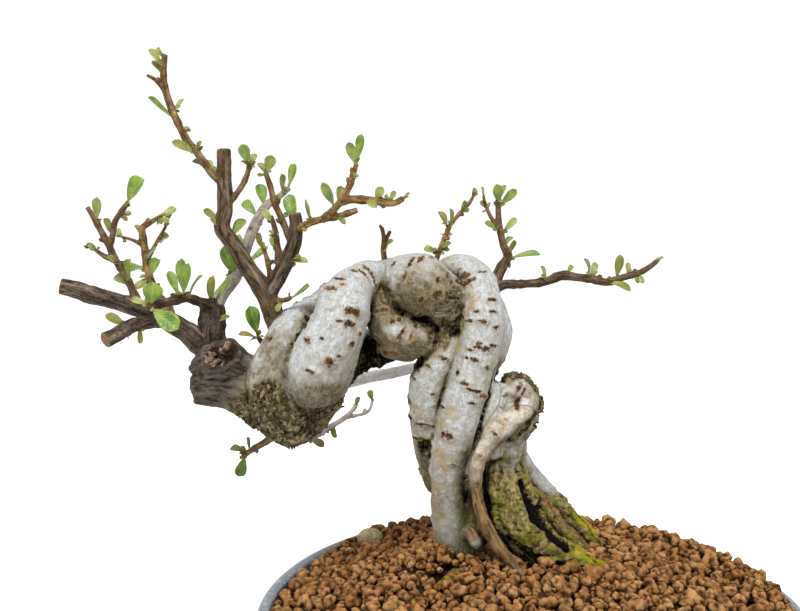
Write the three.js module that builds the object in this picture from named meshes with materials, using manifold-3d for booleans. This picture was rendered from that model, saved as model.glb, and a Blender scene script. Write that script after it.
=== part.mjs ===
// A wall cotoneaster bonsai with a twisted, knotted trunk, in a round glazed pot.
// Millimetres, +Z up, +Y to the back. Routes are measured from the pot's axis on the table,
// and the finished group then stands over the middle of its own box.

import * as THREE from 'three';
import { mergeVertices } from 'three/addons/utils/BufferGeometryUtils.js';
import Module from 'manifold-3d';

const wasm = await Module();
wasm.setup();

// Driving dimensions
const RIM_RADIUS = 80;
const RIM_HEIGHT = 56;
const LIP_DEPTH = 6;
const LIP_OVERHANG = 2;
const LIP_ROUND = 1.2;
const WALL = 4;
const FLOOR_HEIGHT = 12;
const FLOOR_RADIUS = 50;
const FOOT_HEIGHT = 6;
const FOOT_RADIUS = 54;
const FOOT_WIDTH = 8;
const FOOT_NOTCHES = 3;
const FOOT_NOTCH_WIDTH = 26;
const FOOT_NOTCH_DEPTH = 4;
const FOOT_NOTCH_LENGTH = 24;
const DRAIN_RADIUS = 9;
const DRAIN_SEGMENTS = 24;
const POT_SEGMENTS = 42;
const POT_CURVE_POINTS = 5;
const INNER_WALL_ROWS = 3;
const MESH_RADIUS = 15;
const MESH_THICKNESS = 1;
const MESH_HOLE = 4;
const MESH_PITCH = 6;
const MESH_HOLE_ROWS = 3;
const MESH_SEGMENTS = 24;
const SOIL_EDGE_HEIGHT = 53;
const SOIL_RISE = 12;
const SOIL_RINGS = 16;
const GRAIN_RISE = 2.2;
const GRAIN_RISE_SPREAD = 0.3;
const GRAIN_JITTER = 0.28;
const SEAT_GAP = 0.3;
const CUT_MARGIN = 1;
const LEAF_THICKNESS = 0.7;
const LEAF_FOLD = 0.16;
const LEAF_FACING = { side: 0, front: -0.6, up: 0.7 };
const LEAF_SWAY = { side: 0.5, front: 0.3, up: 0.3 };
const THICK_STRAND = { over: 4, sides: 8, step: 6 };
const THIN_STRAND = { sides: 6, step: 6 };
const THICK_STEM = { over: 1.9, sides: 7, step: 6 };
const THIN_STEM = { sides: 5, step: 7 };
const STONE_PLACE = [-48.5, 49, 58];
const STONE_RADII = [4.6, 3.6, 3.6];
const STONE_TURN = 0.4;
const STONE_DETAIL = 2;
const INNER_RIM_RADIUS = RIM_RADIUS - WALL;

// Trunk and roots: each strand is a list of [x, y, z, radius] along its middle
const TRUNK_STRANDS = {
  column: [
    [-14, 26, 42, 3], [-17, 24, 48, 5.4], [-18, 24, 55, 6.6], [-18, 22, 63.5, 7.4],
    [-21, 19, 73, 6.9], [-22, 18, 80.5, 6.6], [-22.5, 16, 91.5, 6.8], [-21.5, 15, 101, 6.8],
    [-19.5, 14, 111.5, 6.3], [-16.5, 14, 123, 6.2], [-14, 15, 133.5, 6.5], [-13.5, 17, 142, 6.2],
    [-15, 22, 148.5, 5.7], [-18.5, 29, 151.5, 5.2], [-23, 36, 150, 5], [-28.5, 40, 145, 4.8],
  ],
  left_column: [
    [-34, 42, 38, 1.6], [-25, 36, 44, 3.4], [-18, 32, 52, 4.9], [-19, 33, 65, 4.9],
    [-22.5, 31, 79.5, 5.1], [-27, 26, 91, 5.3], [-29, 22, 100.5, 5.6], [-29.5, 20, 110, 6],
    [-29, 19, 119, 5.9], [-25.5, 18, 126.5, 5.1], [-22.5, 19, 133.5, 4.5], [-20.5, 23, 139.5, 4.6],
  ],
  top_bulge: [
    [-47, 32, 146.5, 4.6], [-42.5, 27, 149.5, 5.8], [-37.5, 20.5, 149.5, 8.1],
    [-32, 17.5, 148.5, 9.8], [-27, 17.5, 146, 7.7], [-22.5, 20.5, 140, 6], [-20.5, 24, 131.5, 4.6],
  ],
  lower_loop: [
    [-45.5, 16, 150.5, 2.7], [-44.5, 15, 144.5, 3.7], [-43, 14, 138.5, 4.8], [-39, 14, 134.5, 5.8],
    [-34, 16.5, 132.5, 5.8], [-29, 22, 132.5, 5.2], [-25.5, 28, 135, 4.2],
  ],
  front_arm: [
    [-41, 23, 147.5, 3.6], [-46, 17, 151.5, 4.7], [-51.5, 11, 149, 6.4], [-54, 7, 145, 7.7],
    [-55.5, 5, 139, 8.1], [-58.5, 5, 132, 9.2], [-61, 6, 126, 9.6], [-62, 9, 121, 8.5],
    [-63.5, 15, 116, 7.2], [-65, 22, 113, 5.5],
  ],
  rear_arm: [
    [-52, 31, 147.5, 2], [-58, 27, 146.5, 2.8], [-63, 23, 142, 3.9], [-68, 19, 138, 5.1],
    [-72, 16, 133, 5.9], [-75, 14, 126.5, 6.5], [-77, 13, 119.5, 7], [-76, 13, 113, 7.1],
    [-71.5, 14, 108, 7.5], [-66.5, 15, 109.5, 7], [-62, 17, 112.5, 5.7], [-58.5, 20, 116.5, 4.3],
  ],
  back_strand: [
    [12, 40, 44, 1.6], [5, 34, 50, 3.6], [0.5, 29, 57.5, 5.2], [-4.5, 30, 69.5, 5.6],
    [-7, 29, 86, 6], [-8, 27, 103, 6.2], [-13.5, 27, 118.5, 5.2], [-10.5, 27, 128, 5.8],
    [-9.5, 28, 134, 6], [-12, 31, 142, 5.5], [-18.5, 36, 145.5, 5.6], [-28.5, 36, 141.5, 6],
    [-38, 33, 134, 6.2], [-46, 28, 128, 6.4], [-53.5, 25, 124, 6.5], [-62, 23, 117, 6.7],
    [-69.5, 22, 111, 6.7],
  ],
  stump: [
    [-68, 17, 112.5, 8.5], [-76.5, 17, 114.5, 9.3], [-84.5, 18, 117.5, 8.9], [-92, 19, 119, 7.6],
    [-99.5, 19, 119.6, 6.4],
  ],
  wound_lump: [
    [-98, 17, 123, 3.6], [-94.5, 14, 126, 4.8], [-90, 13, 127, 5.2], [-86, 15, 125.5, 4.6],
    [-83, 17, 122.5, 3.6],
  ],
  right_knob: [
    [-7, 20, 118.5, 3.9], [-4, 20, 117, 5], [-1, 21, 114.5, 6.7], [-4, 22, 109, 9],
    [-6, 23, 102.5, 8.2], [-5.5, 23, 95.5, 6.3],
  ],
  root_flare: [
    [-4.5, 23, 99.5, 6.2], [-4.5, 23, 92.5, 5.6], [-4, 21, 86.5, 6.5], [-2.5, 18, 80.5, 7.4],
    [1, 15, 74, 7.3], [7.5, 13, 69, 5.2], [15.5, 12, 66.5, 3.4], [24, 11, 63, 2.2],
    [34, 8, 57, 1.2],
  ],
  vine_root: [
    [1, 18, 112.5, 2.4], [-1, 16, 111, 2.9], [-4.5, 14, 109, 3.3], [-8.5, 13, 105.5, 3.4],
    [-12, 13, 101.5, 3], [-15, 12, 96.5, 2.7], [-15.5, 11, 90, 2.2], [-14.5, 10, 83.5, 2.1],
    [-12.5, 8, 78, 2.1], [-9.5, 6, 73, 1.9], [-4.5, 4, 67.5, 1.6], [-1, 3, 61, 1.2],
  ],
  back_root: [
    [-2, 29, 93.5, 3.6], [3, 31, 85.5, 3.9], [9, 31, 79, 3.6], [16, 31, 72.5, 3.2],
    [22, 31, 66.5, 2.7], [27, 30, 61, 2], [33, 30, 54, 1.2],
  ],
  low_root: [
    [-1.5, 18, 84, 4.2], [4, 22, 80.5, 3.4], [9, 23, 75, 3], [13.5, 23.5, 70, 2.8],
    [19, 24, 65, 2.4], [25, 25, 59.5, 1.9], [30, 26, 54, 1.2],
  ],
  front_root: [
    [-18, 17, 61, 2.6], [-19.5, 9, 62.8, 2.9], [-22.5, 2, 63.6, 2.9], [-27.5, -4, 62, 2.4],
    [-33, -9, 57.5, 1.4],
  ],
  base_stub: [
    [-17.5, 15, 73.5, 2.4], [-16, 11.5, 73.5, 2.4], [-15.5, 9.5, 72.5, 2.4], [-15.5, 9, 70.5, 1.6],
  ],
};

// Branches: each has stems, and a stem has a route of [x, y, z, radius] and leaves, each leaf
// as [place along the stem from 0 to 1, x, y and z from there to its tip, width].
// parents are the branches that it grows from, and it is seated against them and the trunk.
const BRANCHES = [
  {
    name: 'limb_tall',
    stems: [
      {
        route: [
          [-74, 20, 133.5, 3.4], [-77, 21, 141.5, 3], [-80, 21, 148, 2.9], [-84, 21, 154, 2.7],
          [-87.5, 21, 160, 2.5], [-91, 21, 165.5, 2.5], [-90, 21, 170.5, 2.4], [-90, 21, 177, 2.3],
          [-90, 21, 183, 2.2], [-90, 21, 188.5, 2.1],
        ],
        leaves: [
          [0.64, -5, -3, 4, 2], [0.54, 4, 4, 6, 3], [0.4, 6.5, 3, 5, 2.5], [0.61, -3, -3, 3, 1.5],
        ],
      },
      {
        route: [
          [-90, 21, 179, 1.5], [-93, 21, 181, 1.3], [-95.5, 22, 184, 1.2], [-98, 22, 187.5, 1.2],
          [-101, 23, 191, 1.2], [-104, 23, 197, 1.1], [-106.5, 23, 203.5, 1.1],
          [-107.5, 23, 209, 1], [-107, 23, 216, 0.9],
        ],
        leaves: [
          [0.55, -7.5, -3, 6.5, 3.5], [0.62, 3, 2, 3.5, 2], [0.26, -7.5, -2, 4, 2.5],
          [0.16, -5, 3, 2, 2], [0.08, -3, 2, 4.5, 2.5], [0.92, -4, -1, 5, 2],
          [0.86, -3.5, 2, 4.5, 2], [0.97, -2.5, 2, 3.5, 1.5], [0.28, 1.5, -1, 3.5, 1.5],
          [0.46, 2, 3, 1, 1.5],
        ],
      },
      {
        route: [
          [-107, 23, 205, 0.8], [-108.5, 22, 207.5, 0.7], [-110, 21, 209, 0.6],
          [-112, 21, 210, 0.5],
        ],
        leaves: [],
      },
      {
        route: [
          [-89.5, 21, 172, 1], [-87, 21, 175, 0.9], [-84.5, 21, 178.5, 0.9], [-83, 21, 182, 0.8],
          [-82.5, 21, 184, 0.6],
        ],
        leaves: [
          [0.97, -2, -1, 6.5, 3], [0.7, 2.5, 2, 5.5, 2.5], [0.95, 1.5, 3, 4, 2],
        ],
      },
      {
        route: [
          [-78, 21, 144, 1], [-75, 19, 144, 0.9], [-72, 16, 144.5, 0.8], [-70, 14, 145.5, 0.6],
        ],
        leaves: [
          [0.94, 6, -3, 4, 3.5], [0.53, -1, -3, -3, 1.5],
        ],
      },
    ],
  },
  {
    name: 'limb_fork',
    parents: ['limb_tall'],
    stems: [
      {
        route: [
          [-79, 22, 142.5, 2.4], [-77, 21, 146.5, 2.3], [-73.5, 19, 152.5, 2.2],
          [-70.5, 18, 158, 2.1], [-69, 17, 162.5, 2.1], [-68.5, 17, 166.5, 2], [-69, 17, 170, 1.9],
        ],
        leaves: [
          [0.85, -2.5, 4, 10, 3.5], [0.51, 6.5, -2, 0, 2], [0.54, 4, -3, 1, 1.5],
        ],
      },
      {
        route: [
          [-77, 21, 147, 0.9], [-77, 19, 152.5, 0.8], [-77.5, 18, 156.5, 0.8],
          [-78.5, 18, 160, 0.6],
        ],
        leaves: [
          [0.91, -2, -3, 5.5, 2.5],
        ],
      },
      {
        route: [
          [-73, 19, 152.5, 0.8], [-74.5, 18, 155.5, 0.7], [-74.5, 17, 159, 0.6],
        ],
        leaves: [
          [0.93, -1.5, 2, 4.5, 2],
        ],
      },
      {
        route: [
          [-70, 18, 160.5, 1.1], [-71.5, 18, 164.5, 1], [-73, 18, 168.5, 1], [-75, 18, 173, 1],
          [-76, 18, 177.5, 0.9], [-77.5, 18, 182, 0.8],
        ],
        leaves: [
          [0.97, 2, -1, 5.5, 3], [0.96, -2.5, 1, 3.5, 2], [0.59, 2.5, -2, 2.5, 1.5],
          [0.37, 2, 2, 1.5, 1.5],
        ],
      },
      {
        route: [
          [-72.5, 19, 154.5, 1], [-74, 17, 160, 0.9], [-74.5, 15, 165, 0.9],
          [-75.5, 14, 169.5, 0.6],
        ],
        leaves: [
          [0.84, -3, -1, 4.5, 2], [0.56, -2, -2, 2.5, 1.5],
        ],
      },
    ],
  },
  {
    name: 'spray_golden',
    parents: ['limb_fork'],
    stems: [
      {
        route: [
          [-69, 17, 165.5, 1.5], [-67, 16, 166, 1.2], [-64, 15, 167.5, 1.1], [-60, 15, 168.5, 1],
          [-56.5, 16, 169, 1], [-53.5, 16, 170, 1], [-50.5, 16, 171, 0.9],
        ],
        leaves: [
          [0.3, -1.5, -3, 6.5, 4], [0.68, 2.5, -2, -2, 1.5],
        ],
      },
      {
        route: [
          [-61, 15, 168, 1.2], [-58, 15, 170.5, 1.1], [-55, 15, 174, 1], [-52.5, 15, 178.5, 1],
          [-51.5, 15, 182, 0.9], [-50.5, 15, 184.5, 0.7],
        ],
        leaves: [
          [0.27, -3.5, -3, 7.5, 2.5], [0.33, 1, 2, 5.5, 2.5], [0.97, 1.5, 1, 9, 2.5],
          [0.95, -2, -2, 7, 2.5], [0.77, 2, -2, 0.5, 1.5],
        ],
      },
      {
        route: [
          [-56.5, 15, 172.5, 1], [-53, 15, 174, 1.2], [-49, 15, 174, 1.3], [-44, 15, 173.5, 1.2],
          [-40, 15, 173, 1], [-37, 15, 174.5, 0.8],
        ],
        leaves: [
          [0.56, 2.5, -1, 4, 2.5], [0.4, 4, -3, -2, 2], [0.76, 2, 2, 3.5, 1.5],
          [0.96, 2, -1, 1, 1.5],
        ],
      },
    ],
  },
  {
    name: 'stub_dark',
    stems: [
      {
        route: [
          [-93.5, 19, 121, 4.6], [-94.5, 19, 128, 4.2], [-95, 19, 133.5, 3.9],
          [-94.5, 20, 137.5, 3.8], [-94.5, 21, 142, 3.4],
        ],
        leaves: [
          [0.96, 1, -3, 10.5, 2.5], [0.98, 6, 1, 9, 2.5], [0.74, 6, -3, 3, 1.5],
        ],
      },
      {
        route: [
          [-94, 20, 142, 2.2], [-97.5, 16, 144, 1.5], [-100.5, 13, 145.5, 1.4],
          [-104, 10, 145, 1.4], [-107.5, 7, 144.5, 1.3], [-110, 5, 144, 1.1],
        ],
        leaves: [
          [0.97, 1.5, -1, 7, 5], [0.98, 9, -4, -6, 5], [0.48, -1, 2, 11.5, 3],
          [0.51, 2.5, -2, 10.5, 3], [0.43, 5, -3, 7, 2.5], [0.55, -3.5, 2, 8, 2.5],
          [0.96, -6, 1, 2, 2],
        ],
      },
    ],
  },
  {
    name: 'limb_back',
    parents: ['stub_dark'],
    stems: [
      {
        route: [
          [-94.5, 22, 138.5, 2.6], [-95, 28, 141, 2.4], [-94, 35, 144, 2.2], [-90.5, 41, 149, 2],
          [-87.5, 47, 159, 1.9], [-85, 51, 165.5, 1.8], [-82, 55, 171, 1.5],
          [-78.5, 57, 173.5, 1.1], [-75, 59, 176.5, 0.9],
        ],
        leaves: [
          [0.81, -2, 2, 8, 3.5], [0.74, -5.5, 4, 5.5, 3], [0.99, 2, 2, 8.5, 3],
          [0.95, 0, -3, 6.5, 2.5], [0.55, -4, 3, 3.5, 2.5], [0.36, -3, -2, 10.5, 4.5],
          [0.3, 3, 3, 5, 2.5], [0.65, 3, 2, 2.5, 2],
        ],
      },
    ],
  },
  {
    name: 'limb_left',
    parents: ['stub_dark'],
    stems: [
      {
        route: [
          [-94, 17, 127, 3.6], [-98.5, 16, 132, 3.2], [-103, 15, 136, 2.9], [-109, 14, 140, 2.7],
          [-116.5, 13, 143, 2.6], [-122.5, 12, 145, 2.7], [-127, 11, 146.5, 2.8],
          [-132, 10, 148.5, 2.6], [-136, 9, 149.5, 2.4],
        ],
        leaves: [],
      },
      {
        route: [
          [-114.5, 13, 142.5, 1.4], [-116.5, 13, 148.5, 1.2], [-118.5, 13, 152.5, 1.1],
          [-120.5, 13, 156, 1.1], [-123, 13, 161.5, 1], [-125, 13, 165.5, 0.9],
          [-126.5, 13, 168.5, 0.9], [-128.5, 13, 172, 0.7],
        ],
        leaves: [
          [0.84, 1, -2, 7.5, 2.5], [0.22, 1, -3, 8, 3.5], [0.44, -2, -2, 2.5, 1.5],
          [0.2, -5.5, 3, 3, 2.5],
        ],
      },
      {
        route: [
          [-122.5, 13, 160.5, 1], [-121, 12, 164.5, 0.9], [-120, 11, 168, 0.8],
          [-118, 10, 170.5, 0.9], [-116, 9, 173, 0.8],
        ],
        leaves: [
          [0.97, 6, -2, 7.5, 5.5], [0.25, -2, -1, 5, 2.5], [0.71, 3, 2, 0.5, 1.5],
        ],
      },
      {
        route: [
          [-120.5, 13, 156, 0.9], [-122.5, 13, 157, 0.8], [-124.5, 13, 158, 0.7],
          [-126.5, 13, 159.5, 0.6], [-129, 13, 161.5, 0.5],
        ],
        leaves: [
          [0.64, -2, -2, 2.5, 1.5],
        ],
      },
    ],
  },
  {
    name: 'stub_cut',
    parents: ['limb_left'],
    stems: [
      {
        route: [
          [-105.5, 13, 138.5, 1.9], [-110.5, 9, 139, 2], [-114.5, 5, 138.5, 2.1],
          [-117.5, 1, 137, 2.2], [-120.5, -2, 135.5, 2.4],
        ],
        leaves: [
          [0.6, -6, -3, 4, 2.5], [0.45, 0.5, -2, -5.5, 1.5], [0.59, -1.5, 3, -4, 1.5],
        ],
      },
    ],
  },
  {
    name: 'twig_rear_left',
    parents: ['limb_left'],
    stems: [
      {
        route: [
          [-106, 15, 137.5, 1.4], [-109, 27, 140, 1.4], [-114.5, 39, 142, 1.3],
          [-119, 47, 145.5, 1.3], [-121.5, 51, 151, 1.3], [-122.5, 53, 156.5, 1.3],
          [-123, 53, 160.5, 1.3], [-123, 53, 163.5, 1.1], [-120, 53, 165.5, 0.9],
          [-116.5, 53, 167.5, 0.7],
        ],
        leaves: [
          [0.98, 5.5, 2, 3, 3], [0.97, 4.5, -2, -1, 2], [0.7, 4, -3, 4.5, 4],
          [0.6, 4, -2, 6.5, 4.5], [0.67, -9, 2, -1.5, 3.5], [0.62, -3.5, -3, -4, 3],
          [0.83, -3, 3, 4, 2],
        ],
      },
      {
        route: [
          [-122, 52, 152, 0.8], [-119.5, 53, 157, 0.7], [-117, 54, 161.5, 0.6],
          [-115.5, 54, 164, 0.5],
        ],
        leaves: [
          [0.94, 2, 2, 4.5, 2.5], [0.6, 3, 2, 2, 2.5],
        ],
      },
      {
        route: [
          [-122.5, 53, 157.5, 0.8], [-126.5, 53, 159.5, 0.6], [-130, 53, 160.5, 0.5],
        ],
        leaves: [
          [0.93, -3, 1, 2.5, 2],
        ],
      },
    ],
  },
  {
    name: 'twig_low',
    stems: [
      {
        route: [
          [-77, 22, 125.5, 1.1], [-78.5, 23, 128.5, 0.9], [-80.5, 23, 131, 0.8],
          [-81.5, 22, 132.5, 0.6],
        ],
        leaves: [
          [0.95, -2, -2, 10, 4], [0.93, -5.5, -3, 1.5, 2],
        ],
      },
    ],
  },
  {
    name: 'twig_under_left',
    stems: [
      {
        route: [
          [-73, 22, 105, 1.5], [-77.5, 33, 99, 1.3], [-81.5, 39, 95, 1.2], [-86, 43, 91.5, 1.1],
          [-90, 45, 88.5, 0.9],
        ],
        leaves: [
          [0.97, -2.5, -1, -7.5, 3.5], [0.95, -6, 2, 1, 2.5], [0.91, -0.5, -3, 5.5, 2],
        ],
      },
    ],
  },
  {
    name: 'twig_under_right',
    stems: [
      {
        route: [
          [-71, 23, 107, 1.5], [-71.5, 34, 99, 1.3], [-70, 43, 94.5, 1.2], [-65.5, 49, 94.5, 1],
          [-61, 53, 96.5, 1], [-56.5, 55, 99, 0.9], [-53, 57, 102.5, 0.7],
        ],
        leaves: [
          [0.55, 5.5, -3, -2, 2.5], [0.75, 2.5, -2, -3, 1.5], [0.97, 2, 1, 4, 2],
        ],
      },
      {
        route: [
          [-58, 55, 98.5, 0.8], [-53, 57, 99, 0.6], [-49, 59, 100, 0.6], [-47.5, 61, 103.5, 0.5],
        ],
        leaves: [
          [0.95, -1, 1, 4, 2],
        ],
      },
    ],
  },
  {
    name: 'branch_bare',
    stems: [
      {
        route: [
          [-64, 23, 115.5, 2.4], [-59, 33, 115, 2.2], [-53.5, 39, 115, 2.1], [-48, 43, 115.5, 2],
          [-40.5, 47, 116, 1.9], [-33, 51, 117, 1.7], [-24.5, 54, 119, 1.4], [-17, 57, 121.5, 1.1],
        ],
        leaves: [
          [0.93, 1, 4, 4, 2.5], [0.98, 5, 1, 4, 2.5], [0.8, -2, 5, 3, 2],
        ],
      },
    ],
  },
  {
    name: 'twig_top',
    stems: [
      {
        route: [
          [-42, 25, 152.5, 1.1], [-43, 23, 157.5, 0.9], [-43, 23, 160.5, 0.8], [-43, 23, 163, 0.7],
          [-43.5, 23, 165.5, 0.6],
        ],
        leaves: [
          [0.5, 3, -3, 3, 2],
        ],
      },
      {
        route: [
          [-43, 23, 160.5, 0.7], [-42, 22, 162.5, 0.6], [-41, 21, 164.5, 0.6],
        ],
        leaves: [],
      },
    ],
  },
  {
    name: 'twig_rear_top',
    stems: [
      {
        route: [
          [-28, 38, 146, 1.1], [-27, 42, 152, 1], [-25.5, 46, 156, 0.9], [-23.5, 49, 160.5, 0.9],
          [-21.5, 52, 164.5, 0.8], [-18, 55, 168.5, 0.7], [-15, 57, 171.5, 0.7],
          [-13.5, 58, 174, 0.5],
        ],
        leaves: [
          [0.35, -5, -1, 1, 2.5], [0.37, 3.5, -3, 2.5, 2], [0.58, -3, 2, 6, 2.5],
          [0.62, 0, -3, 6, 2], [0.8, 1, -3, 4, 2], [0.97, 1, 1, 3.5, 1.5], [0.5, 2.5, 3, 1, 2],
        ],
      },
    ],
  },
  {
    name: 'branch_upright',
    stems: [
      {
        route: [
          [-11, 30, 143.5, 2.4], [-7.5, 35, 149.5, 1.8], [-5.5, 37, 153, 1.6], [-4, 37, 155.5, 1.4],
          [-5.5, 37, 159, 1.2], [-6.5, 38, 163.5, 1.1], [-7, 39, 167.5, 1], [-7, 41, 174, 0.9],
        ],
        leaves: [
          [0.93, -1, -3, 6.5, 3], [0.91, 5.5, -2, 5.5, 2.5], [0.95, 2.5, 3, 5.5, 2],
          [0.7, -5, -2, 2.5, 2], [0.66, 5, 2, 5, 2], [0.45, 1.5, -3, 5.5, 2],
          [0.43, 10, -3, 1.5, 3], [0.56, 3, 3, 2.5, 2],
        ],
      },
      {
        route: [
          [-6.5, 38, 164, 0.8], [-9, 38, 167, 0.7], [-11, 38, 171, 0.6], [-12, 38, 174.5, 0.5],
        ],
        leaves: [
          [0.9, -1, -2, 4, 1.5], [0.6, -2, 2, 3, 1.5],
        ],
      },
    ],
  },
  {
    name: 'branch_right',
    parents: ['branch_upright'],
    stems: [
      {
        route: [
          [-11, 31, 144.5, 2], [-6, 32, 147, 1.6], [1, 35, 147, 1.3], [7.5, 36, 147.5, 1.4],
          [13, 36, 149.5, 1.6], [17.5, 36, 149, 1.3], [22, 36, 148.5, 1.3], [27.5, 36, 147.5, 1.2],
          [32.5, 36, 149, 1.1], [37, 35, 150.5, 1], [40, 34, 152.5, 0.9], [42, 33, 154.5, 0.8],
        ],
        leaves: [
          [0.36, -2, -1, 5, 2], [0.6, -2, -1, 6.5, 2.5], [0.61, 2, 3, 5, 2],
          [0.75, 0.5, -3, 8.5, 2.5], [0.82, 0.5, 3, 4, 1.5], [0.69, 7.5, -3, -2.5, 2.5],
          [0.88, 1, -2, -3, 1.5], [0.98, 2.5, -1, 2, 1.5], [0.47, 2.5, 3, 3, 1.5],
        ],
      },
    ],
  },
];

// Repeatable random numbers between 0 and 1
function seededRandom(seed) {
  let state = seed;
  return () => {
    state = (state * 1664525 + 1013904223) % 4294967296;
    return state / 4294967296;
  };
}

// Solids and meshes
function solidOf(geometry) {
  geometry.deleteAttribute('normal');
  geometry.deleteAttribute('uv');
  const merged = mergeVertices(geometry);
  return new wasm.Manifold(new wasm.Mesh({
    numProp: 3,
    vertProperties: merged.attributes.position.array,
    triVerts: Uint32Array.from(merged.index.array),
  }));
}

function joined(solids) {
  return solids.reduce((whole, solid) => whole.add(solid));
}

// A cut can leave loose scraps, so only the largest body is kept
function largestBody(solid) {
  const bodies = solid.decompose();
  return bodies.reduce((best, body) => (body.volume() > best.volume() ? body : best));
}

function meshOf(solid, name, material) {
  const { vertProperties, triVerts } = solid.getMesh();
  const geometry = new THREE.BufferGeometry();
  geometry.setAttribute('position', new THREE.BufferAttribute(vertProperties, 3));
  geometry.setIndex(new THREE.BufferAttribute(triVerts, 1));
  geometry.computeVertexNormals();
  const mesh = new THREE.Mesh(geometry, material);
  mesh.name = name;
  return mesh;
}

// A stem: a closed cylinder bent along a smooth curve, with the radius following the route
function stemCurve(route) {
  const points = route.map(([x, y, z]) => new THREE.Vector3(x, y, z));
  return new THREE.CatmullRomCurve3(points, false, 'centripetal');
}

function stemRadius(route, curve, place) {
  const last = route.length - 1;
  const along = curve.getUtoTmapping(place) * last;
  const before = Math.min(Math.floor(along), last - 1);
  return THREE.MathUtils.lerp(route[before][3], route[before + 1][3], along - before);
}

function stemSolid(route, thickForm, thinForm, grow = 0) {
  const curve = stemCurve(route);
  const thickest = Math.max(...route.map((point) => point[3]));
  const { sides, step } = thickest > thickForm.over ? thickForm : thinForm;
  const rows = Math.max(2, Math.ceil(curve.getLength() / step));
  const frames = curve.computeFrenetFrames(rows, false);
  const geometry = new THREE.CylinderGeometry(1, 1, 1, sides, rows);
  const position = geometry.attributes.position;
  const vertex = new THREE.Vector3();
  for (let i = 0; i < position.count; i += 1) {
    vertex.fromBufferAttribute(position, i);
    const row = Math.round((vertex.y + 0.5) * rows);
    const radius = stemRadius(route, curve, row / rows) + grow;
    const point = curve.getPointAt(row / rows);
    point.addScaledVector(frames.normals[row], vertex.x * radius);
    point.addScaledVector(frames.binormals[row], -vertex.z * radius);
    position.setXYZ(i, point.x, point.y, point.z);
  }
  return solidOf(geometry);
}

// A leaf: an oval blade folded along its midrib, split into triangles alike on both faces
const LEAF_OUTLINE = {
  lowerPlace: 0.36,
  lowerWidth: 0.42,
  upperPlace: 0.72,
  upperWidth: 0.5,
};

function leafSolid(base, reach, width, random) {
  const facing = new THREE.Vector3(
    LEAF_FACING.side + LEAF_SWAY.side * (2 * random() - 1),
    LEAF_FACING.front + LEAF_SWAY.front * (2 * random() - 1),
    LEAF_FACING.up + LEAF_SWAY.up * (2 * random() - 1),
  );
  const side = new THREE.Vector3().crossVectors(reach, facing).normalize();
  const face = new THREE.Vector3().crossVectors(side, reach).normalize();
  const fold = width * LEAF_FOLD;
  const place = (along, across, rise) => base.clone()
    .addScaledVector(reach, along)
    .addScaledVector(side, across)
    .addScaledVector(face, rise);
  const { lowerPlace, lowerWidth, upperPlace, upperWidth } = LEAF_OUTLINE;
  const top = [
    place(0, 0, 0),
    place(lowerPlace, -width * lowerWidth, fold),
    place(upperPlace, -width * upperWidth, fold),
    place(1, 0, 0),
    place(upperPlace, width * upperWidth, fold),
    place(lowerPlace, width * lowerWidth, fold),
  ];
  const bottom = top.slice(1).map((point) => point.clone().addScaledVector(face, -LEAF_THICKNESS));
  const below = (corner) => (corner === 0 ? 0 : corner + bottom.length);
  const faces = [[0, 3, 1], [1, 3, 2], [0, 5, 3], [5, 4, 3]];
  const index = [];
  faces.forEach(([a, b, c]) => index.push(a, b, c, below(a), below(c), below(b)));
  index.push(0, 1, below(1), 0, below(5), 5);
  for (let i = 1; i < bottom.length; i += 1) {
    index.push(i, i + 1, below(i + 1), i, below(i + 1), below(i));
  }
  const geometry = new THREE.BufferGeometry().setFromPoints([...top, ...bottom]);
  geometry.setIndex(index);
  return solidOf(geometry);
}

// Pot: a bowl on a notched ring foot, with a thick lip and one drain hole
function innerWallRadius(height) {
  const drop = (RIM_HEIGHT - height) / (RIM_HEIGHT - FLOOR_HEIGHT);
  return FLOOR_RADIUS + (INNER_RIM_RADIUS - FLOOR_RADIUS) * Math.sqrt(1 - drop ** 2);
}

function innerWallHeights() {
  const heights = [];
  for (let row = 1; row <= INNER_WALL_ROWS; row += 1) {
    const drop = Math.sin((row / INNER_WALL_ROWS) * (Math.PI / 2));
    heights.push(SOIL_EDGE_HEIGHT - (SOIL_EDGE_HEIGHT - FLOOR_HEIGHT) * drop);
  }
  return heights;
}

function potProfile() {
  const profile = new THREE.Path();
  const neck = RIM_HEIGHT - LIP_DEPTH;
  profile.moveTo(0, FOOT_HEIGHT);
  profile.lineTo(FOOT_RADIUS - FOOT_WIDTH, FOOT_HEIGHT);
  profile.lineTo(FOOT_RADIUS - FOOT_WIDTH, 0);
  profile.lineTo(FOOT_RADIUS, 0);
  profile.lineTo(FOOT_RADIUS, FOOT_HEIGHT);
  profile.quadraticCurveTo(RIM_RADIUS - LIP_OVERHANG, FLOOR_HEIGHT + WALL, RIM_RADIUS - LIP_OVERHANG, neck);
  profile.lineTo(RIM_RADIUS, neck + LIP_ROUND);
  profile.lineTo(RIM_RADIUS, RIM_HEIGHT - LIP_ROUND);
  profile.lineTo(RIM_RADIUS - LIP_ROUND, RIM_HEIGHT);
  profile.lineTo(INNER_RIM_RADIUS + LIP_ROUND, RIM_HEIGHT);
  profile.lineTo(INNER_RIM_RADIUS, RIM_HEIGHT - LIP_ROUND);
  profile.lineTo(innerWallRadius(SOIL_EDGE_HEIGHT), SOIL_EDGE_HEIGHT);
  innerWallHeights().forEach((height) => profile.lineTo(innerWallRadius(height), height));
  profile.lineTo(0, FLOOR_HEIGHT);
  return profile.getPoints(POT_CURVE_POINTS);
}

function uprightCylinder(radius, bottom, top, segments) {
  const geometry = new THREE.CylinderGeometry(radius, radius, top - bottom, segments);
  geometry.rotateX(Math.PI / 2);
  geometry.translate(0, 0, (bottom + top) / 2);
  return geometry;
}

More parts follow.
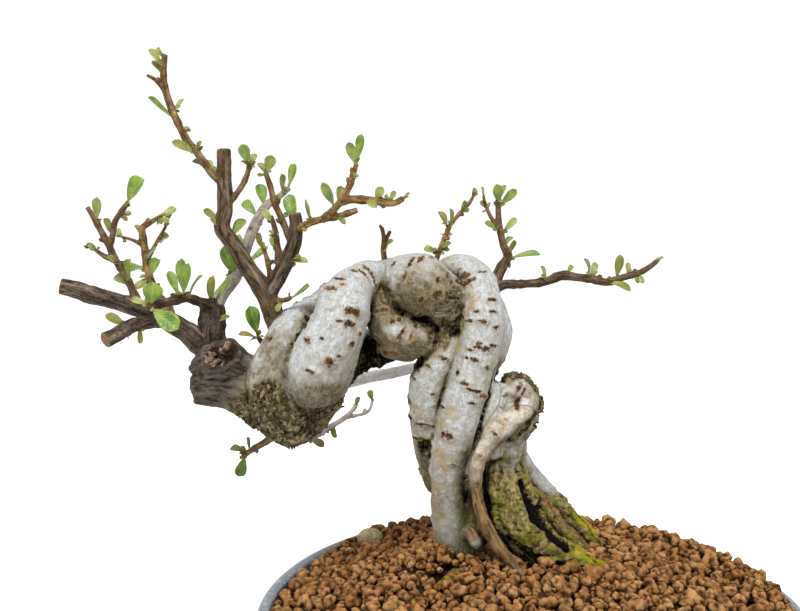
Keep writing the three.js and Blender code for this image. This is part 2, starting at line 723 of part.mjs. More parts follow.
function buildPot() {
  const bowl = new THREE.LatheGeometry(potProfile(), POT_SEGMENTS);
  bowl.rotateX(Math.PI / 2);
  const cuts = [solidOf(uprightCylinder(DRAIN_RADIUS, 0, FLOOR_HEIGHT + CUT_MARGIN, DRAIN_SEGMENTS))];
  for (let i = 0; i < FOOT_NOTCHES; i += 1) {
    const notch = new THREE.BoxGeometry(FOOT_NOTCH_LENGTH, FOOT_NOTCH_WIDTH, 2 * FOOT_NOTCH_DEPTH);
    notch.translate(FOOT_RADIUS, 0, 0);
    notch.rotateZ(Math.PI / 2 + (i * 2 * Math.PI) / FOOT_NOTCHES);
    cuts.push(solidOf(notch));
  }
  return cuts.reduce((pot, cut) => pot.subtract(cut), solidOf(bowl));
}

// Drainage mesh: a thin disc with square holes, lying over the drain hole
function buildDrainMesh() {
  const bottom = FLOOR_HEIGHT + SEAT_GAP;
  const disc = solidOf(uprightCylinder(MESH_RADIUS, bottom, bottom + MESH_THICKNESS, MESH_SEGMENTS));
  const holes = [];
  const offset = ((MESH_HOLE_ROWS - 1) / 2) * MESH_PITCH;
  for (let i = 0; i < MESH_HOLE_ROWS; i += 1) {
    for (let j = 0; j < MESH_HOLE_ROWS; j += 1) {
      const hole = new THREE.BoxGeometry(MESH_HOLE, MESH_HOLE, 2 * (MESH_THICKNESS + CUT_MARGIN));
      hole.translate(i * MESH_PITCH - offset, j * MESH_PITCH - offset, bottom);
      holes.push(solidOf(hole));
    }
  }
  return disc.subtract(joined(holes));
}

// Soil: a domed bed that fills the pot, its top raised into coarse grains.
// Its points lie on rings of six more points each, and every third one is a grain's peak.
function soilHeight(radius) {
  return SOIL_EDGE_HEIGHT + SOIL_RISE * (1 - (radius / INNER_RIM_RADIUS) ** 2);
}

function buildSoilBed() {
  const random = seededRandom(7);
  const edgeRadius = innerWallRadius(SOIL_EDGE_HEIGHT) - 2 * SEAT_GAP;
  const ringStep = edgeRadius / SOIL_RINGS;
  const points = [new THREE.Vector3(0, 0, soilHeight(0))];
  const ringStart = (ring) => (ring === 0 ? 0 : 1 + 3 * ring * (ring - 1));
  const ringPoint = (ring, k) => ringStart(ring) + (ring === 0 ? 0 : k % (6 * ring));
  for (let ring = 1; ring <= SOIL_RINGS; ring += 1) {
    for (let k = 0; k < 6 * ring; k += 1) {
      const edge = ring === SOIL_RINGS;
      const radius = ring * ringStep + (edge ? 0 : (random() - 0.5) * 2 * GRAIN_JITTER * ringStep);
      const turn = (k + (edge ? 0 : (random() - 0.5) * 2 * GRAIN_JITTER)) * Math.PI / (3 * ring);
      const peak = (ring + (k % ring)) % 3 === 0;
      const rise = (peak ? GRAIN_RISE : 0) * (1 + GRAIN_RISE_SPREAD * (2 * random() - 1));
      const height = soilHeight(radius) + (edge ? 0 : rise);
      points.push(new THREE.Vector3(radius * Math.cos(turn), radius * Math.sin(turn), height));
    }
  }
  const index = [];
  for (let ring = 1; ring <= SOIL_RINGS; ring += 1) {
    for (let sector = 0; sector < 6; sector += 1) {
      for (let k = 0; k < ring; k += 1) {
        const outer = sector * ring + k;
        const inner = sector * (ring - 1) + k;
        index.push(ringPoint(ring, outer), ringPoint(ring, outer + 1), ringPoint(ring - 1, inner));
        if (k < ring - 1) {
          index.push(ringPoint(ring, outer + 1), ringPoint(ring - 1, inner + 1), ringPoint(ring - 1, inner));
        }
      }
    }
  }
  const around = 6 * SOIL_RINGS;
  let upper = ringStart(SOIL_RINGS);
  innerWallHeights().forEach((wallHeight) => {
    const height = wallHeight + SEAT_GAP;
    const radius = innerWallRadius(wallHeight) - 2 * SEAT_GAP;
    const lower = points.length;
    for (let k = 0; k < around; k += 1) {
      const turn = (k * 2 * Math.PI) / around;
      points.push(new THREE.Vector3(radius * Math.cos(turn), radius * Math.sin(turn), height));
    }
    for (let k = 0; k < around; k += 1) {
      const next = (k + 1) % around;
      index.push(upper + k, lower + k, lower + next, upper + k, lower + next, upper + next);
    }
    upper = lower;
  });
  const centre = points.length;
  points.push(new THREE.Vector3(0, 0, FLOOR_HEIGHT + SEAT_GAP));
  for (let k = 0; k < around; k += 1) {
    index.push(centre, upper + ((k + 1) % around), upper + k);
  }
  const geometry = new THREE.BufferGeometry().setFromPoints(points);
  geometry.setIndex(index);
  return solidOf(geometry);
}

// Stone: a worn pebble, half sunk in the soil
function stoneSolid(grow = 0) {
  const geometry = new THREE.IcosahedronGeometry(1, STONE_DETAIL);
  geometry.scale(...STONE_RADII.map((radius) => radius + grow));
  geometry.rotateZ(STONE_TURN);
  geometry.translate(...STONE_PLACE);
  return solidOf(geometry);
}

// Trunk: its strands, arms and roots are one grown body
function trunkSolid(grow = 0) {
  const routes = Object.values(TRUNK_STRANDS);
  return joined(routes.map((route) => stemSolid(route, THICK_STRAND, THIN_STRAND, grow)));
}

// Branch: its stems, and its leaves unless only the wood is wanted
function woodOf(branch, grow = 0) {
  return joined(branch.stems.map(({ route }) => stemSolid(route, THICK_STEM, THIN_STEM, grow)));
}

function leavesOf(branch, random) {
  return branch.stems.flatMap(({ route, leaves }) => {
    const curve = stemCurve(route);
    return leaves.map(([place, x, y, z, width]) => {
      const base = curve.getPointAt(place);
      return leafSolid(base, new THREE.Vector3(x, y, z), width, random);
    });
  });
}

// Materials
const bark = new THREE.MeshStandardMaterial({ color: 0x9a958b, roughness: 0.85, metalness: 0 });
const leafyStem = new THREE.MeshStandardMaterial({ color: 0x74803a, roughness: 0.7, metalness: 0 });
const soilMaterial = new THREE.MeshStandardMaterial({ color: 0x8a5233, roughness: 1, metalness: 0 });
const stoneMaterial = new THREE.MeshStandardMaterial({ color: 0x9c8a68, roughness: 0.9, metalness: 0 });
const glaze = new THREE.MeshStandardMaterial({ color: 0x5d6b78, roughness: 0.25, metalness: 0 });
const plastic = new THREE.MeshStandardMaterial({ color: 0x1c1c1c, roughness: 0.6, metalness: 0 });

// Assembly
const bonsai = new THREE.Group();
const trunk = trunkSolid();
const trunkSeat = trunkSolid(SEAT_GAP);
const meshTop = FLOOR_HEIGHT + SEAT_GAP + MESH_THICKNESS;
const meshSeat = solidOf(uprightCylinder(MESH_RADIUS + SEAT_GAP, 0, meshTop + SEAT_GAP, MESH_SEGMENTS));
const soil = buildSoilBed().subtract(trunkSeat).subtract(stoneSolid(SEAT_GAP)).subtract(meshSeat);

bonsai.add(
  meshOf(buildPot(), 'pot', glaze),
  meshOf(buildDrainMesh(), 'drain_mesh', plastic),
  meshOf(largestBody(soil), 'soil', soilMaterial),
  meshOf(stoneSolid(), 'stone', stoneMaterial),
  meshOf(trunk, 'trunk', bark),
);

const leafRandom = seededRandom(21);
const branchByName = new Map(BRANCHES.map((branch) => [branch.name, branch]));
BRANCHES.forEach((branch) => {
  const whole = joined([woodOf(branch), ...leavesOf(branch, leafRandom)]);
  const parents = (branch.parents ?? []).map((name) => woodOf(branchByName.get(name), SEAT_GAP));
  const seated = [trunkSeat, ...parents].reduce((solid, seat) => solid.subtract(seat), whole);
  bonsai.add(meshOf(largestBody(seated), branch.name, leafyStem));
});

const extent = new THREE.Box3().setFromObject(bonsai);
const middle = extent.getCenter(new THREE.Vector3());
bonsai.position.set(-middle.x, -middle.y, -extent.min.z);

export default bonsai;
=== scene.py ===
"""A wall cotoneaster bonsai with a knotted trunk, in a round glazed pot.

Routes are in millimetres from the pot's axis on the table, +Z up and +Y to the back,
and place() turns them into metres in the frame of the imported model.
"""

import math
from types import SimpleNamespace

import bmesh
import bpy
import numpy as np
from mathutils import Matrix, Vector
from mathutils.bvhtree import BVHTree


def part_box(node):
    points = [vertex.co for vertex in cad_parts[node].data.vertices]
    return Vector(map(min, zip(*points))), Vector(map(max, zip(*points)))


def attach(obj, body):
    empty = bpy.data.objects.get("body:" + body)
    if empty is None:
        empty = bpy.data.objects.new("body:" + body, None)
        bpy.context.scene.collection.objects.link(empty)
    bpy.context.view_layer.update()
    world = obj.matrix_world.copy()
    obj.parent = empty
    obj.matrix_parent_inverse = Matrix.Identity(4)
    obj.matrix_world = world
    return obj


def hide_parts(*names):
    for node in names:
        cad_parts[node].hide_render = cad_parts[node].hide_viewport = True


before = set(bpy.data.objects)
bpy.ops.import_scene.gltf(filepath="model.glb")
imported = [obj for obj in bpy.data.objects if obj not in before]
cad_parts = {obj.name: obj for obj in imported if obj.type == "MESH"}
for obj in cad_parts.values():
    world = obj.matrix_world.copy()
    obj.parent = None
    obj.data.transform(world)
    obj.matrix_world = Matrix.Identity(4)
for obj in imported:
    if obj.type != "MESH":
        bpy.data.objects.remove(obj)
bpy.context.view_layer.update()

MM = 0.001
pot_low, pot_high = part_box("pot")
POT_AXIS = np.array([(pot_low.x + pot_high.x) / 2, (pot_low.y + pot_high.y) / 2, pot_low.z])

# Sizes of the pot and the soil, in millimetres
RIM_RADIUS = 80.0
RIM_HEIGHT = 56.0
LIP_DEPTH = 6.0
LIP_OVERHANG = 2.0
WALL = 4.0
FLOOR_HEIGHT = 12.0
FLOOR_RADIUS = 50.0
FOOT_HEIGHT = 6.0
FOOT_RADIUS = 54.0
FOOT_WIDTH = 8.0
FOOT_NOTCH_WIDTH = 26.0
DRAIN_RADIUS = 9.0
INNER_RIM_RADIUS = RIM_RADIUS - WALL
SOIL_EDGE_HEIGHT = 53.0
SOIL_RISE = 12.0
# The pebble's middle, and its radii
STONE_PLACE = (-48.5, 49.0, 58.0)
STONE_RADII = (4.6, 3.6, 3.6)

# Trunk and roots: each strand is a list of (x, y, z, radius) along its middle
TRUNK_STRANDS = {
    "column": [
        (-14, 26, 42, 3), (-17, 24, 48, 5.4), (-18, 24, 55, 6.6), (-18, 22, 63.5, 7.4), (-21, 19, 73, 6.9),
        (-22, 18, 80.5, 6.6), (-22.5, 16, 91.5, 6.8), (-21.5, 15, 101, 6.8), (-19.5, 14, 111.5, 6.3),
        (-16.5, 14, 123, 6.2), (-14, 15, 133.5, 6.5), (-13.5, 17, 142, 6.2), (-15, 22, 148.5, 5.7),
        (-18.5, 29, 151.5, 5.2), (-23, 36, 150, 5), (-28.5, 40, 145, 4.8),
    ],
    "left_column": [
        (-34, 42, 38, 1.6), (-25, 36, 44, 3.4), (-18, 32, 52, 4.9), (-19, 33, 65, 4.9),
        (-22.5, 31, 79.5, 5.1), (-27, 26, 91, 5.3), (-29, 22, 100.5, 5.6), (-29.5, 20, 110, 6),
        (-29, 19, 119, 5.9), (-25.5, 18, 126.5, 5.1), (-22.5, 19, 133.5, 4.5), (-20.5, 23, 139.5, 4.6),
    ],
    "top_bulge": [
        (-47, 32, 146.5, 4.6), (-42.5, 27, 149.5, 5.8), (-37.5, 20.5, 149.5, 8.1), (-32, 17.5, 148.5, 9.8),
        (-27, 17.5, 146, 7.7), (-22.5, 20.5, 140, 6), (-20.5, 24, 131.5, 4.6),
    ],
    "lower_loop": [
        (-45.5, 16, 150.5, 2.7), (-44.5, 15, 144.5, 3.7), (-43, 14, 138.5, 4.8), (-39, 14, 134.5, 5.8),
        (-34, 16.5, 132.5, 5.8), (-29, 22, 132.5, 5.2), (-25.5, 28, 135, 4.2),
    ],
    "front_arm": [
        (-41, 23, 147.5, 3.6), (-46, 17, 151.5, 4.7), (-51.5, 11, 149, 6.4), (-54, 7, 145, 7.7),
        (-55.5, 5, 139, 8.1), (-58.5, 5, 132, 9.2), (-61, 6, 126, 9.6), (-62, 9, 121, 8.5),
        (-63.5, 15, 116, 7.2), (-65, 22, 113, 5.5),
    ],
    "rear_arm": [
        (-52, 31, 147.5, 2), (-58, 27, 146.5, 2.8), (-63, 23, 142, 3.9), (-68, 19, 138, 5.1),
        (-72, 16, 133, 5.9), (-75, 14, 126.5, 6.5), (-77, 13, 119.5, 7), (-76, 13, 113, 7.1),
        (-71.5, 14, 108, 7.5), (-66.5, 15, 109.5, 7), (-62, 17, 112.5, 5.7), (-58.5, 20, 116.5, 4.3),
    ],
    "back_strand": [
        (12, 40, 44, 1.6), (5, 34, 50, 3.6), (0.5, 29, 57.5, 5.2), (-4.5, 30, 69.5, 5.6), (-7, 29, 86, 6),
        (-8, 27, 103, 6.2), (-13.5, 27, 118.5, 5.2), (-10.5, 27, 128, 5.8), (-9.5, 28, 134, 6),
        (-12, 31, 142, 5.5), (-18.5, 36, 145.5, 5.6), (-28.5, 36, 141.5, 6), (-38, 33, 134, 6.2),
        (-46, 28, 128, 6.4), (-53.5, 25, 124, 6.5), (-62, 23, 117, 6.7), (-69.5, 22, 111, 6.7),
    ],
    "stump": [
        (-68, 17, 112.5, 8.5), (-76.5, 17, 114.5, 9.3), (-84.5, 18, 117.5, 8.9), (-92, 19, 119, 7.6),
        (-99.5, 19, 119.6, 6.4),
    ],
    "wound_lump": [
        (-98, 17, 123, 3.6), (-94.5, 14, 126, 4.8), (-90, 13, 127, 5.2), (-86, 15, 125.5, 4.6),
        (-83, 17, 122.5, 3.6),
    ],
    "right_knob": [
        (-7, 20, 118.5, 3.9), (-4, 20, 117, 5), (-1, 21, 114.5, 6.7), (-4, 22, 109, 9), (-6, 23, 102.5, 8.2),
        (-5.5, 23, 95.5, 6.3),
    ],
    "root_flare": [
        (-4.5, 23, 99.5, 6.2), (-4.5, 23, 92.5, 5.6), (-4, 21, 86.5, 6.5), (-2.5, 18, 80.5, 7.4),
        (1, 15, 74, 7.3), (7.5, 13, 69, 5.2), (15.5, 12, 66.5, 3.4), (24, 11, 63, 2.2), (34, 8, 57, 1.2),
    ],
    "vine_root": [
        (1, 18, 112.5, 2.4), (-1, 16, 111, 2.9), (-4.5, 14, 109, 3.3), (-8.5, 13, 105.5, 3.4),
        (-12, 13, 101.5, 3), (-15, 12, 96.5, 2.7), (-15.5, 11, 90, 2.2), (-14.5, 10, 83.5, 2.1),
        (-12.5, 8, 78, 2.1), (-9.5, 6, 73, 1.9), (-4.5, 4, 67.5, 1.6), (-1, 3, 61, 1.2),
    ],
    "back_root": [
        (-2, 29, 93.5, 3.6), (3, 31, 85.5, 3.9), (9, 31, 79, 3.6), (16, 31, 72.5, 3.2), (22, 31, 66.5, 2.7),
        (27, 30, 61, 2), (33, 30, 54, 1.2),
    ],
    "low_root": [
        (-1.5, 18, 84, 4.2), (4, 22, 80.5, 3.4), (9, 23, 75, 3), (13.5, 23.5, 70, 2.8), (19, 24, 65, 2.4),
        (25, 25, 59.5, 1.9), (30, 26, 54, 1.2),
    ],
    "front_root": [
        (-18, 17, 61, 2.6), (-19.5, 9, 62.8, 2.9), (-22.5, 2, 63.6, 2.9), (-27.5, -4, 62, 2.4),
        (-33, -9, 57.5, 1.4),
    ],
    "base_stub": [
        (-17.5, 15, 73.5, 2.4), (-16, 11.5, 73.5, 2.4), (-15.5, 9.5, 72.5, 2.4), (-15.5, 9, 70.5, 1.6),
    ],
}

# Branches: stems of (x, y, z, radius), each with leaves of (place on the stem, x, y, z to the tip, width)
BRANCHES = {
    "limb_tall": [
        ([
            (-74, 20, 133.5, 3.4), (-77, 21, 141.5, 3), (-80, 21, 148, 2.9), (-84, 21, 154, 2.7),
            (-87.5, 21, 160, 2.5), (-91, 21, 165.5, 2.5), (-90, 21, 170.5, 2.4), (-90, 21, 177, 2.3),
            (-90, 21, 183, 2.2), (-90, 21, 188.5, 2.1),
        ], [
            (0.64, -5, -3, 4, 2), (0.54, 4, 4, 6, 3), (0.4, 6.5, 3, 5, 2.5), (0.61, -3, -3, 3, 1.5),
        ]),
        ([
            (-90, 21, 179, 1.5), (-93, 21, 181, 1.3), (-95.5, 22, 184, 1.2), (-98, 22, 187.5, 1.2),
            (-101, 23, 191, 1.2), (-104, 23, 197, 1.1), (-106.5, 23, 203.5, 1.1), (-107.5, 23, 209, 1),
            (-107, 23, 216, 0.9),
        ], [
            (0.55, -7.5, -3, 6.5, 3.5), (0.62, 3, 2, 3.5, 2), (0.26, -7.5, -2, 4, 2.5), (0.16, -5, 3, 2, 2),
            (0.08, -3, 2, 4.5, 2.5), (0.92, -4, -1, 5, 2), (0.86, -3.5, 2, 4.5, 2), (0.97, -2.5, 2, 3.5, 1.5),
            (0.28, 1.5, -1, 3.5, 1.5), (0.46, 2, 3, 1, 1.5),
        ]),
        ([
            (-107, 23, 205, 0.8), (-108.5, 22, 207.5, 0.7), (-110, 21, 209, 0.6), (-112, 21, 210, 0.5),
        ], []),
        ([
            (-89.5, 21, 172, 1), (-87, 21, 175, 0.9), (-84.5, 21, 178.5, 0.9), (-83, 21, 182, 0.8),
            (-82.5, 21, 184, 0.6),
        ], [
            (0.97, -2, -1, 6.5, 3), (0.7, 2.5, 2, 5.5, 2.5), (0.95, 1.5, 3, 4, 2),
        ]),
        ([
            (-78, 21, 144, 1), (-75, 19, 144, 0.9), (-72, 16, 144.5, 0.8), (-70, 14, 145.5, 0.6),
        ], [
            (0.94, 6, -3, 4, 3.5), (0.53, -1, -3, -3, 1.5),
        ]),
    ],
    "limb_fork": [
        ([
            (-79, 22, 142.5, 2.4), (-77, 21, 146.5, 2.3), (-73.5, 19, 152.5, 2.2), (-70.5, 18, 158, 2.1),
            (-69, 17, 162.5, 2.1), (-68.5, 17, 166.5, 2), (-69, 17, 170, 1.9),
        ], [
            (0.85, -2.5, 4, 10, 3.5), (0.51, 6.5, -2, 0, 2), (0.54, 4, -3, 1, 1.5),
        ]),
        ([
            (-77, 21, 147, 0.9), (-77, 19, 152.5, 0.8), (-77.5, 18, 156.5, 0.8), (-78.5, 18, 160, 0.6),
        ], [
            (0.91, -2, -3, 5.5, 2.5),
        ]),
        ([
            (-73, 19, 152.5, 0.8), (-74.5, 18, 155.5, 0.7), (-74.5, 17, 159, 0.6),
        ], [
            (0.93, -1.5, 2, 4.5, 2),
        ]),
        ([
            (-70, 18, 160.5, 1.1), (-71.5, 18, 164.5, 1), (-73, 18, 168.5, 1), (-75, 18, 173, 1),
            (-76, 18, 177.5, 0.9), (-77.5, 18, 182, 0.8),
        ], [
            (0.97, 2, -1, 5.5, 3), (0.96, -2.5, 1, 3.5, 2), (0.59, 2.5, -2, 2.5, 1.5), (0.37, 2, 2, 1.5, 1.5),
        ]),
        ([
            (-72.5, 19, 154.5, 1), (-74, 17, 160, 0.9), (-74.5, 15, 165, 0.9), (-75.5, 14, 169.5, 0.6),
        ], [
            (0.84, -3, -1, 4.5, 2), (0.56, -2, -2, 2.5, 1.5),
        ]),
    ],
    "spray_golden": [
        ([
            (-69, 17, 165.5, 1.5), (-67, 16, 166, 1.2), (-64, 15, 167.5, 1.1), (-60, 15, 168.5, 1),
            (-56.5, 16, 169, 1), (-53.5, 16, 170, 1), (-50.5, 16, 171, 0.9),
        ], [
            (0.3, -1.5, -3, 6.5, 4), (0.68, 2.5, -2, -2, 1.5),
        ]),
        ([
            (-61, 15, 168, 1.2), (-58, 15, 170.5, 1.1), (-55, 15, 174, 1), (-52.5, 15, 178.5, 1),
            (-51.5, 15, 182, 0.9), (-50.5, 15, 184.5, 0.7),
        ], [
            (0.27, -3.5, -3, 7.5, 2.5), (0.33, 1, 2, 5.5, 2.5), (0.97, 1.5, 1, 9, 2.5),
            (0.95, -2, -2, 7, 2.5), (0.77, 2, -2, 0.5, 1.5),
        ]),
        ([
            (-56.5, 15, 172.5, 1), (-53, 15, 174, 1.2), (-49, 15, 174, 1.3), (-44, 15, 173.5, 1.2),
            (-40, 15, 173, 1), (-37, 15, 174.5, 0.8),
        ], [
            (0.56, 2.5, -1, 4, 2.5), (0.4, 4, -3, -2, 2), (0.76, 2, 2, 3.5, 1.5), (0.96, 2, -1, 1, 1.5),
        ]),
    ],
    "stub_dark": [
        ([
            (-93.5, 19, 121, 4.6), (-94.5, 19, 128, 4.2), (-95, 19, 133.5, 3.9), (-94.5, 20, 137.5, 3.8),
            (-94.5, 21, 142, 3.4),
        ], [
            (0.96, 1, -3, 10.5, 2.5), (0.98, 6, 1, 9, 2.5), (0.74, 6, -3, 3, 1.5),
        ]),
        ([
            (-94, 20, 142, 2.2), (-97.5, 16, 144, 1.5), (-100.5, 13, 145.5, 1.4), (-104, 10, 145, 1.4),
            (-107.5, 7, 144.5, 1.3), (-110, 5, 144, 1.1),
        ], [
            (0.97, 1.5, -1, 7, 5), (0.98, 9, -4, -6, 5), (0.48, -1, 2, 11.5, 3), (0.51, 2.5, -2, 10.5, 3),
            (0.43, 5, -3, 7, 2.5), (0.55, -3.5, 2, 8, 2.5), (0.96, -6, 1, 2, 2),
        ]),
    ],
    "limb_back": [
        ([
            (-94.5, 22, 138.5, 2.6), (-95, 28, 141, 2.4), (-94, 35, 144, 2.2), (-90.5, 41, 149, 2),
            (-87.5, 47, 159, 1.9), (-85, 51, 165.5, 1.8), (-82, 55, 171, 1.5), (-78.5, 57, 173.5, 1.1),
            (-75, 59, 176.5, 0.9),
        ], [
            (0.81, -2, 2, 8, 3.5), (0.74, -5.5, 4, 5.5, 3), (0.99, 2, 2, 8.5, 3), (0.95, 0, -3, 6.5, 2.5),
            (0.55, -4, 3, 3.5, 2.5), (0.36, -3, -2, 10.5, 4.5), (0.3, 3, 3, 5, 2.5), (0.65, 3, 2, 2.5, 2),
        ]),
    ],
    "limb_left": [
        ([
            (-94, 17, 127, 3.6), (-98.5, 16, 132, 3.2), (-103, 15, 136, 2.9), (-109, 14, 140, 2.7),
            (-116.5, 13, 143, 2.6), (-122.5, 12, 145, 2.7), (-127, 11, 146.5, 2.8), (-132, 10, 148.5, 2.6),
            (-136, 9, 149.5, 2.4),
        ], []),
        ([
            (-114.5, 13, 142.5, 1.4), (-116.5, 13, 148.5, 1.2), (-118.5, 13, 152.5, 1.1),
            (-120.5, 13, 156, 1.1), (-123, 13, 161.5, 1), (-125, 13, 165.5, 0.9), (-126.5, 13, 168.5, 0.9),
            (-128.5, 13, 172, 0.7),
        ], [
            (0.84, 1, -2, 7.5, 2.5), (0.22, 1, -3, 8, 3.5), (0.44, -2, -2, 2.5, 1.5), (0.2, -5.5, 3, 3, 2.5),
        ]),
        ([
            (-122.5, 13, 160.5, 1), (-121, 12, 164.5, 0.9), (-120, 11, 168, 0.8), (-118, 10, 170.5, 0.9),
            (-116, 9, 173, 0.8),
        ], [
            (0.97, 6, -2, 7.5, 5.5), (0.25, -2, -1, 5, 2.5), (0.71, 3, 2, 0.5, 1.5),
        ]),
        ([
            (-120.5, 13, 156, 0.9), (-122.5, 13, 157, 0.8), (-124.5, 13, 158, 0.7), (-126.5, 13, 159.5, 0.6),
            (-129, 13, 161.5, 0.5),
        ], [
            (0.64, -2, -2, 2.5, 1.5),
        ]),
    ],
    "stub_cut": [
        ([
            (-105.5, 13, 138.5, 1.9), (-110.5, 9, 139, 2), (-114.5, 5, 138.5, 2.1), (-117.5, 1, 137, 2.2),
            (-120.5, -2, 135.5, 2.4),
        ], [
            (0.6, -6, -3, 4, 2.5), (0.45, 0.5, -2, -5.5, 1.5), (0.59, -1.5, 3, -4, 1.5),
        ]),
    ],
    "twig_rear_left": [
        ([
            (-106, 15, 137.5, 1.4), (-109, 27, 140, 1.4), (-114.5, 39, 142, 1.3), (-119, 47, 145.5, 1.3),
            (-121.5, 51, 151, 1.3), (-122.5, 53, 156.5, 1.3), (-123, 53, 160.5, 1.3), (-123, 53, 163.5, 1.1),
            (-120, 53, 165.5, 0.9), (-116.5, 53, 167.5, 0.7),
        ], [
            (0.98, 5.5, 2, 3, 3), (0.97, 4.5, -2, -1, 2), (0.7, 4, -3, 4.5, 4), (0.6, 4, -2, 6.5, 4.5),
            (0.67, -9, 2, -1.5, 3.5), (0.62, -3.5, -3, -4, 3), (0.83, -3, 3, 4, 2),
        ]),
        ([
            (-122, 52, 152, 0.8), (-119.5, 53, 157, 0.7), (-117, 54, 161.5, 0.6), (-115.5, 54, 164, 0.5),
        ], [
            (0.94, 2, 2, 4.5, 2.5), (0.6, 3, 2, 2, 2.5),
        ]),
        ([
            (-122.5, 53, 157.5, 0.8), (-126.5, 53, 159.5, 0.6), (-130, 53, 160.5, 0.5),
        ], [
            (0.93, -3, 1, 2.5, 2),
        ]),
    ],
    "twig_low": [
        ([
            (-77, 22, 125.5, 1.1), (-78.5, 23, 128.5, 0.9), (-80.5, 23, 131, 0.8), (-81.5, 22, 132.5, 0.6),
        ], [
            (0.95, -2, -2, 10, 4), (0.93, -5.5, -3, 1.5, 2),
        ]),
    ],
    "twig_under_left": [
        ([
            (-73, 22, 105, 1.5), (-77.5, 33, 99, 1.3), (-81.5, 39, 95, 1.2), (-86, 43, 91.5, 1.1),
            (-90, 45, 88.5, 0.9),
        ], [
            (0.97, -2.5, -1, -7.5, 3.5), (0.95, -6, 2, 1, 2.5), (0.91, -0.5, -3, 5.5, 2),
        ]),
    ],
    "twig_under_right": [
        ([
            (-71, 23, 107, 1.5), (-71.5, 34, 99, 1.3), (-70, 43, 94.5, 1.2), (-65.5, 49, 94.5, 1),
            (-61, 53, 96.5, 1), (-56.5, 55, 99, 0.9), (-53, 57, 102.5, 0.7),
        ], [
            (0.55, 5.5, -3, -2, 2.5), (0.75, 2.5, -2, -3, 1.5), (0.97, 2, 1, 4, 2),
        ]),
        ([
            (-58, 55, 98.5, 0.8), (-53, 57, 99, 0.6), (-49, 59, 100, 0.6), (-47.5, 61, 103.5, 0.5),
        ], [
            (0.95, -1, 1, 4, 2),
        ]),
    ],
    "branch_bare": [
        ([
            (-64, 23, 115.5, 2.4), (-59, 33, 115, 2.2), (-53.5, 39, 115, 2.1), (-48, 43, 115.5, 2),
            (-40.5, 47, 116, 1.9), (-33, 51, 117, 1.7), (-24.5, 54, 119, 1.4), (-17, 57, 121.5, 1.1),
        ], [
            (0.93, 1, 4, 4, 2.5), (0.98, 5, 1, 4, 2.5), (0.8, -2, 5, 3, 2),
        ]),
    ],
    "twig_top": [
        ([
            (-42, 25, 152.5, 1.1), (-43, 23, 157.5, 0.9), (-43, 23, 160.5, 0.8), (-43, 23, 163, 0.7),
            (-43.5, 23, 165.5, 0.6),
        ], [
            (0.5, 3, -3, 3, 2),
        ]),
        ([
            (-43, 23, 160.5, 0.7), (-42, 22, 162.5, 0.6), (-41, 21, 164.5, 0.6),
        ], []),
    ],
    "twig_rear_top": [
        ([
            (-28, 38, 146, 1.1), (-27, 42, 152, 1), (-25.5, 46, 156, 0.9), (-23.5, 49, 160.5, 0.9),
            (-21.5, 52, 164.5, 0.8), (-18, 55, 168.5, 0.7), (-15, 57, 171.5, 0.7), (-13.5, 58, 174, 0.5),
        ], [
            (0.35, -5, -1, 1, 2.5), (0.37, 3.5, -3, 2.5, 2), (0.58, -3, 2, 6, 2.5), (0.62, 0, -3, 6, 2),
            (0.8, 1, -3, 4, 2), (0.97, 1, 1, 3.5, 1.5), (0.5, 2.5, 3, 1, 2),
        ]),
    ],
    "branch_upright": [
        ([
            (-11, 30, 143.5, 2.4), (-7.5, 35, 149.5, 1.8), (-5.5, 37, 153, 1.6), (-4, 37, 155.5, 1.4),
            (-5.5, 37, 159, 1.2), (-6.5, 38, 163.5, 1.1), (-7, 39, 167.5, 1), (-7, 41, 174, 0.9),
        ], [
            (0.93, -1, -3, 6.5, 3), (0.91, 5.5, -2, 5.5, 2.5), (0.95, 2.5, 3, 5.5, 2), (0.7, -5, -2, 2.5, 2),
            (0.66, 5, 2, 5, 2), (0.45, 1.5, -3, 5.5, 2), (0.43, 10, -3, 1.5, 3), (0.56, 3, 3, 2.5, 2),
        ]),
        ([
            (-6.5, 38, 164, 0.8), (-9, 38, 167, 0.7), (-11, 38, 171, 0.6), (-12, 38, 174.5, 0.5),
        ], [
            (0.9, -1, -2, 4, 1.5), (0.6, -2, 2, 3, 1.5),
        ]),
    ],
    "branch_right": [
        ([
            (-11, 31, 144.5, 2), (-6, 32, 147, 1.6), (1, 35, 147, 1.3), (7.5, 36, 147.5, 1.4),
            (13, 36, 149.5, 1.6), (17.5, 36, 149, 1.3), (22, 36, 148.5, 1.3), (27.5, 36, 147.5, 1.2),
            (32.5, 36, 149, 1.1), (37, 35, 150.5, 1), (40, 34, 152.5, 0.9), (42, 33, 154.5, 0.8),
        ], [
            (0.36, -2, -1, 5, 2), (0.6, -2, -1, 6.5, 2.5), (0.61, 2, 3, 5, 2), (0.75, 0.5, -3, 8.5, 2.5),
            (0.82, 0.5, 3, 4, 1.5), (0.69, 7.5, -3, -2.5, 2.5), (0.88, 1, -2, -3, 1.5),
            (0.98, 2.5, -1, 2, 1.5), (0.47, 2.5, 3, 3, 1.5),
        ]),
    ],
}

